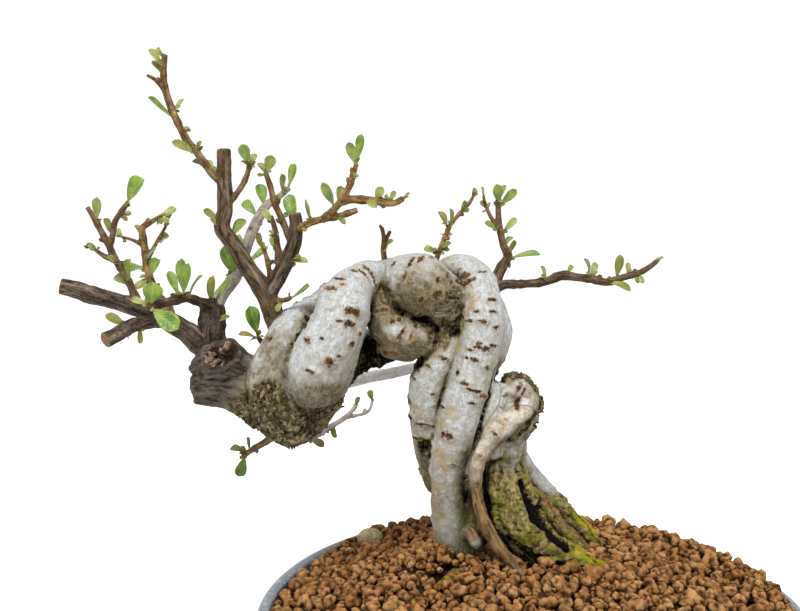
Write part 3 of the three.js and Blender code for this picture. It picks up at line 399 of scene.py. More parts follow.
# Scars on the bark of each strand: (place along it from 0 to 1, angle from its front in degrees,
# size across in millimetres, size along in millimetres)
BARK_SCARS = {
    "front_arm": [
        (0.26, 15, 2.5, 1), (0.28, 35, 2.5, 1), (0.22, 5, 3, 1), (0.22, -25, 3.5, 1.5), (0.22, 30, 2, 1),
        (0.33, 35, 2.5, 1), (0.36, 40, 2.5, 1.5), (0.36, 25, 3, 1), (0.43, -20, 3.5, 2), (0.45, 0, 1.5, 1),
        (0.45, -20, 2.5, 1.5), (0.60, -10, 2.5, 2), (0.50, -40, 2, 1.5), (0.52, 20, 1.5, 1),
        (0.56, 45, 2.5, 2), (0.47, -50, 1.5, 1), (0.56, -20, 1.5, 1), (0.65, 15, 3.5, 1),
        (0.54, 75, 1.5, 1.5),
    ],
    "rear_arm": [
        (0.31, -20, 2.5, 1.5), (0.31, -55, 2, 1), (0.44, 45, 3, 1.5), (0.61, 20, 2, 1), (0.65, 20, 4, 1),
        (0.42, -25, 2, 1),
    ],
    "stump": [(0.43, 45, 2, 2)],
    "top_bulge": [
        (0.45, -45, 4, 1.5), (0.50, -60, 4, 1.5), (0.54, 20, 2.5, 2), (0.60, -5, 2.5, 2.5), (0.60, -50, 3, 2),
        (0.44, -15, 2, 1), (0.57, -30, 1.5, 1), (0.39, -40, 1.5, 1), (0.51, 80, 1.5, 1),
    ],
    "lower_loop": [
        (0.26, -5, 4, 1.5), (0.39, -40, 4.5, 1.5), (0.56, -65, 3, 2), (0.47, -15, 4, 1.5),
        (0.54, -20, 2.5, 1.5), (0.48, 65, 4, 2.5), (0.20, -45, 2.5, 1.5),
    ],
    "column": [
        (0.80, -30, 3.5, 2), (0.80, -5, 1.5, 1), (0.81, 25, 2.5, 1), (0.76, 20, 2, 1.5), (0.72, -40, 2.5, 1),
        (0.72, -5, 2.5, 1), (0.71, 35, 2.5, 1.5), (0.68, 5, 4.5, 1), (0.67, 0, 4.5, 1.5), (0.68, 35, 3, 1),
        (0.67, -30, 2.5, 1), (0.65, -25, 4.5, 1), (0.62, -45, 1, 2), (0.59, 10, 4.5, 1), (0.59, -20, 2.5, 1),
        (0.48, -35, 4, 2.5), (0.58, 45, 2.5, 1), (0.74, -20, 1.5, 1), (0.74, 20, 2, 1), (0.64, 30, 2, 1),
        (0.56, 10, 2, 1), (0.42, -5, 2, 1), (0.46, 15, 2, 0.5),
    ],
    "left_column": [
        (0.88, 0, 2.5, 1.5), (0.84, -55, 2.5, 1.5), (0.85, -30, 2, 1), (0.81, -55, 2.5, 1),
        (0.76, -70, 2.5, 2), (0.72, -65, 2, 1.5), (0.71, -30, 3.5, 1), (0.79, 10, 1.5, 1),
        (0.67, -40, 2, 1), (0.76, 30, 2, 1), (0.63, -5, 2.5, 1),
    ],
    "right_knob": [
        (0.12, 60, 2.5, 1), (0.20, 60, 2, 1), (0.19, 20, 2.5, 1.5), (0.11, -15, 2.5, 1), (0.20, -15, 2.5, 1),
    ],
    "vine_root": [(0.22, 15, 1.5, 0.5), (0.35, 5, 1.5, 0.5), (0.48, -5, 1, 0.5), (0.67, -5, 1, 0.5)],
}

# Places where the bark is rough and brown: (x, y, z, reach)
ROUGH_PLACES = [
    (-87, 11, 116, 5), (-84.5, 11, 112, 6), (-88.5, 10, 119, 3.5), (-82.5, 12, 115.5, 7),
    (-78.5, 9, 112, 8), (-74.5, 8, 110, 9), (-69.5, 8, 107, 9), (-65, 9, 107.5, 9), (-60.5, 10, 109.5, 8),
    (-56.5, 14, 114, 7), (-54, 16, 118.5, 5), (-76.5, 7, 118.5, 5), (-73.5, 6, 116, 5), (-52, 12, 130, 6),
    (-50.5, 14, 132.5, 6), (-49.5, 18, 128.5, 8), (-52.5, 10, 126, 5), (-48, 14, 135.5, 4),
    (-26.5, 14, 144.5, 4), (-24.5, 14, 141, 5), (-23, 13, 146, 4), (-27, 16, 137, 6), (-23.5, 15, 138, 5),
    (-28.5, 17, 132, 5), (-31, 18, 127.5, 4), (-32.5, 18, 125.5, 3.5), (-22, 14, 141.5, 4),
    (-25, 16, 131, 3), (-43, 12, 148, 2.4), (-42.5, 12, 145, 2), (-29.5, 17, 99, 4), (-27, 17, 102.5, 3),
    (-6, 20, 120, 4), (-3, 20, 121, 3), (2.5, 20, 118, 5), (4.5, 21, 113, 6), (5, 22, 108, 4),
    (2.5, 20, 105.5, 3), (0, 19, 115.5, 4),
]
# Places where the bark goes browner and darker, added to the painted shade on the undersides: (x, y, z,
# reach)
DARKENED_PLACES = [
    (-89, 10, 119.5, 7), (-85.5, 9, 123, 6), (-61.5, 8, 146, 4), (-34.5, 8, 151, 6), (-74.5, 8, 128.5, 4),
    (-71.5, 7, 129, 4), (-70, 6, 126.5, 4), (-32, 15, 131, 6), (-35, 15, 128.5, 6), (-27.5, 10, 146.5, 8),
    (-31, 11, 143.5, 8), (-24.5, 12, 149.5, 6), (-34.5, 12, 145, 6), (-44, 13, 142, 6), (-56, 12, 119.5, 6),
    (-61, 10, 117, 7), (-78, 6, 122.5, 7), (-76, 9, 132, 6), (-71.5, 8, 128, 7), (-83.5, 12, 116.5, 6),
]
# Hollows in the bark, painted dark as shade: (x, y, z, reach)
DARK_PLACES = [
    (-45.5, 24, 127, 6), (-42.5, 26, 125, 6), (-39.5, 28, 125.5, 5), (-48.5, 22, 129.5, 4),
    (-22, 14, 135.5, 1.8), (-27, 13, 144.5, 2.6), (-32, 17, 125.5, 2), (-30.5, 16, 99.5, 2.4),
]
# A crevice that runs down between the roots, sunk and painted dark as shade, seen from the front: (x, z, half
# its width)
CREVICE = [
    (-1, 89, 1), (0.5, 85, 1.3), (3, 80.5, 2.3), (5.5, 79, 2.7), (7.5, 76.5, 2.4), (10, 73.5, 1.8),
    (12, 70.5, 1.2),
]
# The pruning wound on the stump: its middle, and its radii
WOUND_PLACE = (-91, 9, 129.5)
WOUND_RADII = (5.4, 4.6, 3.9)

# The stems that end in a pruned face: (stem's number, how tan its wood is from 0 to 1)
CUT_ENDS = {
    "limb_tall": [(0, 0.25), (1, 0.0)], "limb_fork": [(0, 1.0)], "limb_left": [(0, 0.7)],
    "stub_cut": [(0, 1.0)], "branch_upright": [(0, 0.1)],
}
# How old each branch's bark looks, from 0, golden, to 1, dark and cracked
BARK_AGE = {
    "limb_tall": 0.6, "limb_fork": 0.8, "spray_golden": 0.1, "stub_dark": 1.0, "limb_back": 0.55,
    "limb_left": 0.95, "stub_cut": 0.9, "twig_rear_left": 0.35, "twig_low": 0.5, "twig_under_left": 0.5,
    "twig_under_right": 0.55, "branch_bare": 0.65, "twig_top": 0.4, "twig_rear_top": 0.3,
    "branch_upright": 0.95, "branch_right": 1.1,
}

# How silvery and smooth the bark of a branch is, with painted light that brightens it further
PALE_AND_LIT_BARK = {"branch_bare": 1.0, "twig_under_right": 0.6, "limb_back": 0.25}

# Fineness of the skins in millimetres
TRUNK_VOXEL = 0.55
WOOD_VOXEL = 0.33
# What a colour is multiplied by, because this scene's light brightens it again
LIGHT_LEVEL = 0.46
# How far each strand's grain starts from the last one's, so that no two look alike
STRAND_APART = 41.0
# The turn from one ray to the next, in radians, which spreads them evenly
GOLDEN_ANGLE = 2.39996
# How many points are measured against a path at a time
POINTS_AT_ONCE = 20000


# Numbers, noise and curves
def smooth_step(low, high, value):
    part = np.clip((value - low) / (high - low), 0.0, 1.0)
    return part * part * (3 - 2 * part)


def unit(vectors):
    return vectors / np.maximum(np.linalg.norm(vectors, axis=-1, keepdims=True), 1e-9)


def leaf_draws(seed):
    """Repeatable numbers between 0 and 1, drawn as the solid leaves draw theirs."""
    state = seed
    while True:
        state = (state * 1664525 + 1013904223) % 4294967296
        yield state / 4294967296


def scrambled(cell, seed):
    """A repeatable number between -1 and 1 for each whole-numbered cell."""
    key = cell @ np.array([73856093, 19349663, 83492791]) + seed * 668265263
    key = (key & 0xFFFFFFFF) * 1274126177 & 0xFFFFFFFF
    key = (key ^ (key >> 15)) * 1540483477 & 0xFFFFFFFF
    return (key ^ (key >> 13)) / 2147483648 - 1


def lattice_noise(points, seed):
    """Smooth noise between -1 and 1 on a grid of unit cells, one value a point."""
    cell = np.floor(points).astype(np.int64)
    part = points - cell
    part = part * part * (3 - 2 * part)
    total = np.zeros(len(points))
    for corner in np.ndindex(2, 2, 2):
        total += scrambled(cell + corner, seed) * np.prod(np.where(corner, part, 1 - part), axis=1)
    return total


def noise(points, size, octaves=3, seed=0):
    """Layered noise whose largest lumps are about size across."""
    total = np.zeros(len(points))
    for octave in range(octaves):
        total += lattice_noise(points / size * 2**octave + 31.7 * octave, seed + octave) / 2**octave
    return total / (2 - 0.5 ** (octaves - 1))


def plates(points, size, seed=0):
    """How far each point is from the crack round its plate, 0 on the crack, on a jittered grid."""
    scaled = points / size
    cell = np.floor(scaled).astype(np.int64)
    first = np.full(len(points), 9.0)
    second = np.full(len(points), 9.0)
    for step in np.ndindex(3, 3, 3):
        corner = cell + step - 1
        jitter = np.stack([scrambled(corner, seed + k) for k in range(3)], axis=1)
        away = np.linalg.norm(corner + 0.5 + 0.45 * jitter - scaled, axis=1)
        second = np.minimum(second, np.maximum(away, first))
        first = np.minimum(first, away)
    return second - first


def creased(points, size, octaves=3, seed=0):
    """Round lumps of about this size with sharp valleys between them, 0 in the valleys."""
    return np.abs(noise(points, size, octaves, seed)) * 2.2


def smooth_curve(knots, steps=16):
    """Points on the smooth curve through the knots (centripetal), with the last column in straight steps."""
    ends = np.vstack([2 * knots[0] - knots[1], knots, 2 * knots[-1] - knots[-2]])
    found = []
    for a, b, c, d in zip(ends, ends[1:], ends[2:], ends[3:]):
        p0, p1, p2, p3 = a[:3], b[:3], c[:3], d[:3]
        g0, g1, g2 = (math.sqrt(np.linalg.norm(q - p)) for p, q in ((p0, p1), (p1, p2), (p2, p3)))
        t1 = ((p1 - p0) / g0 - (p2 - p0) / (g0 + g1) + (p2 - p1) / g1) * g1
        t2 = ((p2 - p1) / g1 - (p3 - p1) / (g1 + g2) + (p3 - p2) / g2) * g1
        for t in np.arange(steps) / steps:
            place = p1 + t1 * t + (3 * (p2 - p1) - 2 * t1 - t2) * t**2 + (2 * (p1 - p2) + t1 + t2) * t**3
            found.append([*place, b[3] + (c[3] - b[3]) * t])
    found.append(knots[-1])
    return np.array(found)


class Path:
    """A route of (x, y, z, radius), sampled at even steps along its length."""

    def __init__(self, route, step):
        fine = smooth_curve(np.array(route, float))
        run = np.concatenate([[0], np.cumsum(np.linalg.norm(np.diff(fine[:, :3], axis=0), axis=1))])
        self.length = run[-1]
        self.run = np.linspace(0, self.length, max(4, math.ceil(self.length / step) + 1))
        sampled = np.stack([np.interp(self.run, run, column) for column in fine.T], axis=1)
        self.middle, self.radius = sampled[:, :3], sampled[:, 3]
        self.ahead = unit(np.gradient(self.middle, axis=0))
        self.side, self.up = self._frames()

    def _frames(self):
        """Two directions across the path, carried along it without twisting."""
        side = [unit(np.cross(self.ahead[0], (0.31, 0.22, 0.92)))]
        for ahead in self.ahead[1:]:
            side.append(unit(side[-1] - ahead * (side[-1] @ ahead)))
        side = np.array(side)
        return side, np.cross(self.ahead, side)

    def at(self, share):
        """The point at a share of the length, from 0 to 1."""
        return np.array([np.interp(share * self.length, self.run, axis) for axis in self.middle.T])

    def front(self):
        """Directions across the path that face the front, and the ones beside them."""
        front = np.array([0.0, -1.0, 0.0]) - self.ahead * (self.ahead @ np.array([0.0, -1.0, 0.0]))[:, None]
        front = unit(front)
        return front, np.cross(self.ahead, front)

    def tube(self, sides, round_off=0.35):
        """A closed tube round the path: its corners and faces."""
        turn = np.arange(sides) * 2 * np.pi / sides
        ring = self.side[:, None] * np.cos(turn)[:, None] + self.up[:, None] * np.sin(turn)[:, None]
        corners = np.vstack([
            (self.middle[:, None] + ring * self.radius[:, None, None]).reshape(-1, 3),
            self.middle[0] - self.ahead[0] * self.radius[0] * round_off,
            self.middle[-1] + self.ahead[-1] * self.radius[-1] * round_off,
        ])
        last = len(self.middle) - 1
        faces = []
        for row in range(last):
            for k in range(sides):
                n = (k + 1) % sides
                faces.append((row * sides + k, row * sides + n, (row + 1) * sides + n, (row + 1) * sides + k))
        start, end = len(corners) - 2, len(corners) - 1
        for k in range(sides):
            n = (k + 1) % sides
            faces.append((n, k, start))
            faces.append((last * sides + k, last * sides + n, end))
        return corners, faces


# Meshes
def into_scene(name, data):
    """A new object in the scene."""
    thing = bpy.data.objects.new(name, data)
    bpy.context.scene.collection.objects.link(thing)
    return thing


def joined(shells):
    """Several (corners, faces) as one."""
    corners, faces, count = [], [], 0
    for points, polygons in shells:
        corners.append(points)
        faces.extend(tuple(count + i for i in polygon) for polygon in polygons)
        count += len(points)
    return np.vstack(corners), faces


def remeshed(shells, voxel):
    """One even skin of four-sided faces round all the shells."""
    corners, faces = joined(shells)
    mesh = bpy.data.meshes.new("shells")
    mesh.from_pydata(corners.tolist(), [], faces)
    work = into_scene("shells", mesh)
    voxels = work.modifiers.new("voxels", "REMESH")
    voxels.mode = "VOXEL"
    voxels.voxel_size = voxel
    skin = bpy.data.meshes.new_from_object(work.evaluated_get(bpy.context.evaluated_depsgraph_get()))
    points = np.empty(len(skin.vertices) * 3)
    skin.vertices.foreach_get("co", points)
    index = np.empty(len(skin.loops), np.int64)
    skin.loops.foreach_get("vertex_index", index)
    bpy.data.objects.remove(work)
    bpy.data.meshes.remove(mesh)
    bpy.data.meshes.remove(skin)
    return outer_skin(points.reshape(-1, 3), index.reshape(-1, 4))


def outer_skin(points, quads):
    """The largest connected part, without the hollows that tubes close in between them."""
    label = np.arange(len(points))
    while True:
        lowest = label[quads].min(axis=1)
        new = label.copy()
        for k in range(4):
            np.minimum.at(new, quads[:, k], lowest)
        new = new[new]
        if (new == label).all():
            break
        label = new
    kept = label == np.bincount(label).argmax()
    renumber = np.cumsum(kept) - 1
    return points[kept], renumber[quads[kept[quads[:, 0]]]]


def gathered(index, values, count):
    """The sum of the values for each index."""
    return np.stack([np.bincount(index, column, count) for column in values.T], axis=1)


def relaxed(points, quads, rounds, share=0.5):
    """The points moved towards the middle of their neighbours."""
    one = quads.ravel()
    two = np.roll(quads, -1, axis=1).ravel()
    count = np.bincount(np.concatenate([one, two]), minlength=len(points))[:, None]
    for _ in range(rounds):
        around = gathered(one, points[two], len(points)) + gathered(two, points[one], len(points))
        points = points + share * (around / count - points)
    return points


def smoothed(values, quads, rounds):
    """One value a point, each moved towards its neighbours' values."""
    return relaxed(values[:, None], quads, rounds)[:, 0]


def normals_of(points, quads):
    a, b, c, d = (points[quads[:, k]] for k in range(4))
    across = np.cross(c - a, d - b)
    return unit(sum(gathered(quads[:, k], across, len(points)) for k in range(4)))


def place(points):
    """Millimetres from the pot's axis, as metres in the model's frame."""
    return np.asarray(points, float) * MM + POT_AXIS


def add_piece(name, corners, faces, finish, slot, nodes, smooth=True, normals=None, **attributes):
    """A finished mesh that stands for the named nodes and takes the given finish; the slot is not used."""
    mesh = bpy.data.meshes.new(name)
    faces = faces.tolist() if isinstance(faces, np.ndarray) else faces
    mesh.from_pydata(place(corners).tolist(), [], faces)
    mesh.update()
    for key, values in attributes.items():
        values = np.asarray(values, float)
        if values.ndim == 1:
            mesh.attributes.new(key, "FLOAT", "POINT").data.foreach_set("value", values)
        else:
            mesh.attributes.new(key, "FLOAT_VECTOR", "POINT").data.foreach_set("vector", values.ravel())
    mesh.polygons.foreach_set("use_smooth", [smooth] * len(mesh.polygons))
    if normals is not None:
        mesh.normals_split_custom_set_from_vertices(normals.tolist())
    mesh.materials.append(finish)
    piece = into_scene(name, mesh)
    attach(piece, "root")
    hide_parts(*nodes)


# Materials
def seen(red, green, blue):
    """A surface colour for one that should look like this, 0 to 255, in this scene's light."""
    def linear(value):
        value /= 255
        return value / 12.92 if value <= 0.04045 else ((value + 0.055) / 1.055) ** 2.4
    return tuple(linear(value) * LIGHT_LEVEL for value in (red, green, blue)) + (1.0,)


class Finish:
    """A node material. Each method adds a node and gives its output."""

    def __init__(self, name, roughness, gloss=0.15, **sockets):
        self.material = bpy.data.materials.new(name)
        self.material.use_nodes = True
        self.nodes = self.material.node_tree.nodes
        self.links = self.material.node_tree.links
        self.shader = self.nodes["Principled BSDF"]
        self.shader.inputs["Roughness"].default_value = roughness
        self.shader.inputs["Specular IOR Level"].default_value = gloss
        for key, value in sockets.items():
            self.shader.inputs[key.replace("_", " ")].default_value = value

    def add(self, kind, output=0, sockets=(), **settings):
        node = self.nodes.new("ShaderNode" + kind)
        for key, value in settings.items():
            setattr(node, key, value)
        for key, value in dict(sockets).items():
            self.feed(node.inputs[key], value)
        return node.outputs[output]

    def feed(self, socket, value):
        if isinstance(value, bpy.types.NodeSocket):
            self.links.new(value, socket)
        else:
            socket.default_value = value

    def attribute(self, name, output="Fac"):
        return self.add("Attribute", output, attribute_name=name)

    def place(self, stretch=(1, 1, 1), name=None):
        """Where a point is in millimetres, or the named attribute, stretched."""
        source = self.attribute(name, "Vector") if name else self.add("TexCoord", "Object")
        unit_size = 1 if name else 1 / MM
        scale = tuple(unit_size * part for part in stretch)
        return self.add("Mapping", sockets={"Vector": source, "Scale": scale})

    def noise(self, where, size, detail=3.0, rough=0.55):
        return self.add("TexNoise", "Fac", sockets={
            "Vector": where, "Scale": 1 / size, "Detail": detail, "Roughness": rough})

    def ramp(self, value, low, high, first=0.0, last=1.0):
        return self.add("MapRange", "Result", sockets={
            "Value": value, "From Min": low, "From Max": high, "To Min": first, "To Max": last},
            interpolation_type="SMOOTHSTEP")

    def patches(self, where, size, detail, rough, low, high, first=0.0, last=1.0):
        """Noise turned into soft-edged patches, from first where it is low to last where it is high."""
        return self.ramp(self.noise(where, size, detail, rough), low, high, first, last)

    def frayed(self, name, *patches):
        """The named attribute with patches added to it, which leave its edge uneven."""
        return self.math("ADD", self.attribute(name), self.patches(*patches))

    def math(self, operation, one, two=0.0):
        return self.add("Math", sockets={0: one, 1: two}, operation=operation)

    def mix(self, share, one, two):
        """A mix of two colours: a node's output, a list as it is, or a tuple for what should be seen."""
        one, two = (seen(*part) if isinstance(part, tuple) else part for part in (one, two))
        return self.add("Mix", 2, sockets={0: share, 6: one, 7: two}, data_type="RGBA")

    def bump(self, height, depth, normal=None):
        depth = depth if isinstance(depth, bpy.types.NodeSocket) else depth * MM
        sockets = {"Height": height, "Distance": depth, "Strength": 1.0}
        if normal is not None:
            sockets["Normal"] = normal
        return self.add("Bump", "Normal", sockets=sockets)

    def done(self, colour, normal=None, roughness=None):
        self.feed(self.shader.inputs["Base Color"], colour)
        if normal is not None:
            self.feed(self.shader.inputs["Normal"], normal)
        if roughness is not None:
            self.feed(self.shader.inputs["Roughness"], roughness)
        return self.material


def trunk_finish():
    look = Finish("silver_bark", 0.6, 0.03)
    fine = look.place(name="grain")
    fibres = look.place((1, 1, 0.2), "grain")
    streaks = look.place((1, 1, 0.13), "grain")
    bands = look.place((0.28, 0.28, 1), "grain")
    where = look.place()
    relief = look.attribute("relief")
    # Silver bark with a fine grain, tan stains, flecks and short dark dashes
    colour = look.mix(look.patches(streaks, 5, 4, 0.6, 0.34, 0.66), (195, 196, 193), (214, 219, 224))
    colour = look.mix(look.patches(fine, 1.6, 6, 0.8, 0.42, 0.64, 0, 0.7), colour, (240, 243, 247))
    colour = look.mix(look.patches(where, 1.1, 5, 0.8, 0.46, 0.66, 0, 0.6), colour, (150, 143, 122))
    colour = look.mix(look.patches(fibres, 0.7, 4, 0.75, 0.5, 0.68, 0, 0.5), colour, (160, 154, 138))
    beige = look.frayed("tan", where, 7, 5, 0.65, 0.42, 0.66, -0.35, 0.4)
    colour = look.mix(look.ramp(beige, 0.05, 0.95, 0, 0.9), colour, (190, 163, 112))
    # Painted shade: a warm tan where the bark is partly walled in
    painted_warm_shade = look.frayed("shade", where, 2.2, 5, 0.7, 0.3, 0.7, -0.12, 0.12)
    colour = look.mix(look.ramp(painted_warm_shade, 0.1, 0.42, 0, 0.75), colour, (170, 162, 132))
    colour = look.mix(look.patches(bands, 0.8, 3, 0.65, 0.54, 0.68, 0, 0.35), colour, (124, 112, 92))
    colour = look.mix(look.patches(fine, 0.8, 2, 0.55, 0.64, 0.69, 0, 0.7), colour, (104, 82, 56))
    lit = look.mix(look.patches(fine, 2.6, 5, 0.7, 0.36, 0.64), (202, 193, 174), (238, 240, 241))
    # Painted shade: the lit bark goes brown in its low places
    lit = look.mix(look.ramp(relief, 0.16, -0.02, 0, 0.8), lit, (124, 104, 78))
    colour = look.mix(look.attribute("lit"), colour, lit)
    peeled = look.mix(look.patches(where, 2.2, 5, 0.7, 0.36, 0.6), (186, 160, 120), (230, 224, 208))
    peeled = look.mix(look.patches(fine, 0.8, 4, 0.75, 0.54, 0.68, 0, 0.8), peeled, (132, 92, 58))
    colour = look.mix(look.attribute("peeled"), colour, peeled)
    # Painted shade, with a real browner tint: bark that faces down, and the listed places, goes browner and
    # darker
    under = look.frayed("below", fine, 2.0, 5, 0.7, 0.3, 0.7, -0.3, 0.3)
    speckled_underside_shade = look.mix(look.patches(where, 0.7, 5, 0.8, 0.4, 0.62), (80, 68, 42), (142, 128, 92))
    colour = look.mix(look.ramp(under, 0.0, 0.6, 0, 0.75), colour, (174, 168, 144))
    colour = look.mix(look.ramp(under, 0.35, 1.15, 0, 0.95), colour, speckled_underside_shade)
    # Scars: a pale raised rim round a dark reddish middle
    scar = look.frayed("scar", where, 0.8, 3, 0.65, 0.25, 0.75, -0.5, 0.5)
    colour = look.mix(look.ramp(scar, 2.1, 1.1, 0, 0.5), colour, (168, 142, 106))
    corky = look.mix(look.patches(where, 0.6, 3, 0.6, 0.38, 0.62), (42, 28, 18), (122, 90, 58))
    corky = look.mix(look.ramp(look.attribute("fresh_scar"), 0.8, 0.9), corky, (158, 106, 54))
    colour = look.mix(look.ramp(scar, 1.15, 0.85), colour, corky)
    # Painted shade: the column's right side goes olive, then near black
    shaded = look.frayed("olive", fine, 1.6, 5, 0.75, 0.3, 0.7, -0.15, 0.15)
    colour = look.mix(look.ramp(shaded, 0.0, 0.75, 0, 0.85), colour, (122, 116, 86))
    colour = look.mix(look.ramp(shaded, 0.55, 1.0, 0, 0.9), colour, (46, 41, 24))
    # Moss at the foot, and the lichen on the roots
    tufts = look.patches(where, 1.3, 6, 0.75, 0.3, 0.52, 0, 0.95)
    green = look.math("MULTIPLY", look.attribute("moss"), tufts)
    colour = look.mix(green, colour, (78, 82, 26))
    lichen = look.mix(look.patches(where, 1.3, 5, 0.7, 0.38, 0.62), (98, 84, 46), (182, 160, 104))
    # Painted highlight: the lichen is paler on its raised lumps
    lichen = look.mix(look.ramp(relief, 0.55, 1.1, 0, 0.5), lichen, (204, 188, 142))
    lichen = look.mix(look.patches(where, 4.5, 5, 0.6, 0.45, 0.58, 0, 0.8), lichen, (128, 130, 30))
    # Painted shade: the lichen is darker in its low places
    lichen = look.mix(look.ramp(relief, 0.28, -0.05, 0, 0.85), lichen, (58, 50, 18))
    marks = look.noise(look.place((0.5, 1, 1)), 2.2, 5, 0.65)
    lichen = look.mix(look.ramp(marks, 0.56, 0.62, 0, 0.92), lichen, (34, 28, 17))
    tip = look.noise(where, 3.4, 4)
    gold = look.mix(look.ramp(tip, 0.36, 0.6), (208, 170, 46), (146, 148, 28))
    gold = look.mix(look.patches(where, 1.0, 4, 0.7, 0.54, 0.66, 0, 0.7), gold, (96, 84, 20))
    # Painted shade: the gold lichen is darker in its low places
    gold = look.mix(look.ramp(relief, 0.25, 0.0, 0, 0.9), gold, (44, 38, 14))
    lichen = look.mix(look.attribute("gold"), lichen, gold)
    # Painted shade: lichen near the soil and on faces turned down goes near black
    low = look.frayed("soaked", where, 3.0, 5, 0.65, 0.34, 0.66, -0.4, 0.4)
    lichen = look.mix(look.ramp(low, 0.35, 0.6), lichen, (22, 17, 10))
    colour = look.mix(look.attribute("lichen"), colour, lichen)
    rust = look.mix(look.patches(fibres, 1.0, 4, 0.65, 0.35, 0.65), (78, 52, 26), (168, 130, 80))
    colour = look.mix(look.attribute("rust"), colour, rust)
    orange = look.mix(look.patches(where, 1.4, 5, 0.55, 0.38, 0.62), (172, 132, 54), (84, 76, 34))
    colour = look.mix(look.attribute("orange"), colour, orange)
    # Rough, stringy brown bark, and painted shade in the hollows
    brown = look.mix(look.patches(fibres, 0.7, 4, 0.75, 0.36, 0.62), (62, 50, 26), (128, 112, 74))
    brown = look.mix(look.patches(where, 5, 4, 0.55, 0.44, 0.6, 0, 0.6), brown, (98, 92, 40))
    # Painted highlight on the rough bark's ridges
    brown = look.mix(look.ramp(relief, 0.35, 0.85, 0, 0.8), brown, (178, 162, 120))
    brown = look.mix(look.patches(fibres, 0.45, 3, 0.8, 0.55, 0.64, 0, 0.7), brown, (196, 182, 148))
    brown = look.mix(look.patches(where, 0.7, 3, 0.7, 0.52, 0.62, 0, 0.8), brown, (38, 28, 14))
    # Painted shade: the rough bark is near black in its low places
    brown = look.mix(look.ramp(relief, 0.2, -0.05, 0, 0.95), brown, (24, 17, 8))
    worn = look.frayed("rough", fibres, 1.2, 6, 0.8, 0.3, 0.7, -0.3, 0.3)
    colour = look.mix(look.ramp(worn, 0.05, 0.4, 0, 0.7), colour, (168, 154, 116))
    colour = look.mix(look.ramp(worn, 0.3, 0.75), colour, brown)
    old = look.mix(look.patches(fibres, 0.8, 5, 0.7, 0.36, 0.64), (53, 46, 39), (116, 105, 93))
    # Painted highlight on the old bark's ridges, and painted shade in its low places
    old = look.mix(look.ramp(relief, 0.5, 1.0, 0, 0.5), old, (122, 116, 110))
    old = look.mix(look.ramp(relief, 0.2, -0.05), old, (20, 15, 12))
    colour = look.mix(look.attribute("old"), colour, old)
    # Painted shade and highlight: the wound's wood is dark in its low places and pale on its ridges
    heart = look.mix(look.ramp(relief, 0.3, 0.95), (30, 22, 16), (178, 152, 128))
    heart = look.mix(look.patches(where, 1.0, 4, 0.65, 0.4, 0.58, 0, 0.8), heart, (66, 52, 42))
    colour = look.mix(look.attribute("wound"), colour, heart)
    # Painted shade: browner, then near black, where the bark is walled in
    painted_hollow_shade = look.frayed("shade", fine, 1.6, 4, 0.65, 0.3, 0.7, -0.16, 0.16)
    colour = look.mix(look.ramp(painted_hollow_shade, 0.36, 0.7, 0, 0.85), colour, (84, 72, 46))
    colour = look.mix(look.ramp(painted_hollow_shade, 0.6, 0.88, 0, 0.95), colour, (24, 18, 12))
    # Painted shade: near black in the hollows, seams, clefts, crevice and wound pit, and under the arms
    dark = look.frayed("dark", where, 1.2, 4, 0.7, 0.35, 0.65, -0.3, 0.2)
    colour = look.mix(look.ramp(dark, 0.2, 0.7), colour, (17, 12, 7))
    normal = look.bump(look.noise(look.place((1, 1, 0.35), "grain"), 0.5, 5, 0.75), 0.22)
    depth = look.math("MULTIPLY", look.attribute("rough"), 0.9 * MM)
    normal = look.bump(look.noise(where, 0.8, 4, 0.75), depth, normal)
    normal = look.bump(look.noise(bands, 0.5, 3, 0.6), 0.16, normal)
    normal = look.bump(look.noise(look.place((1, 1, 0.6), "grain"), 1.5, 5, 0.7), 0.4, normal)
    rough = look.patches(fine, 3, 2, 0.55, 0.3, 0.7, 0.4, 0.62)
    return look.done(colour, normal, rough)


def wood_finish():
    look = Finish("twig_bark", 0.6, 0.06)
    fine = look.place(name="grain")
    long = look.place((1, 1, 0.16), "grain")
    where = look.place()
    young = look.mix(look.patches(long, 1.4, 4, 0.55, 0.35, 0.65), (112, 82, 42), (178, 146, 92))
    old = look.mix(look.patches(long, 0.7, 5, 0.7, 0.36, 0.62), (50, 39, 29), (110, 96, 80))
    old = look.mix(look.patches(long, 2.4, 4, 0.6, 0.5, 0.68, 0, 0.75), old, (164, 150, 128))
    old = look.mix(look.patches(fine, 0.8, 4, 0.65, 0.52, 0.66, 0, 0.75), old, (36, 26, 20))
    colour = look.mix(look.attribute("age"), young, old)
    # Pale bark, brightened past its own colour as painted light
    pale = look.mix(look.patches(where, 2.2, 4, 0.55, 0.35, 0.65), (262, 258, 254), (288, 284, 280))
    pale = look.mix(look.patches(fine, 0.6, 3, 0.55, 0.56, 0.7, 0, 0.6), pale, (122, 112, 104))
    colour = look.mix(look.attribute("pale"), colour, pale)
    rust = look.math("MULTIPLY", look.attribute("node"), look.patches(where, 0.8, 3, 0.55, 0.35, 0.6, 0, 0.8))
    colour = look.mix(rust, colour, (88, 58, 38))
    # Painted shade in the cracks, with the dark stub's own darker bark
    colour = look.mix(look.attribute("dark"), colour, (28, 20, 15))
    rings = look.add("TexWave", "Fac", wave_type="RINGS", sockets={
        "Vector": look.place(name="rings"), "Scale": 0.9, "Distortion": 1.2, "Detail": 2.0})
    heart = look.mix(look.ramp(rings, 0.2, 0.8), (112, 82, 56), (168, 134, 98))
    heart = look.mix(look.attribute("tan"), (58, 46, 38), heart)
    colour = look.mix(look.attribute("cut"), colour, heart)
    normal = look.bump(look.noise(look.place((1, 1, 0.3), "grain"), 0.5, 5, 0.75), 0.25)
    return look.done(colour, normal)


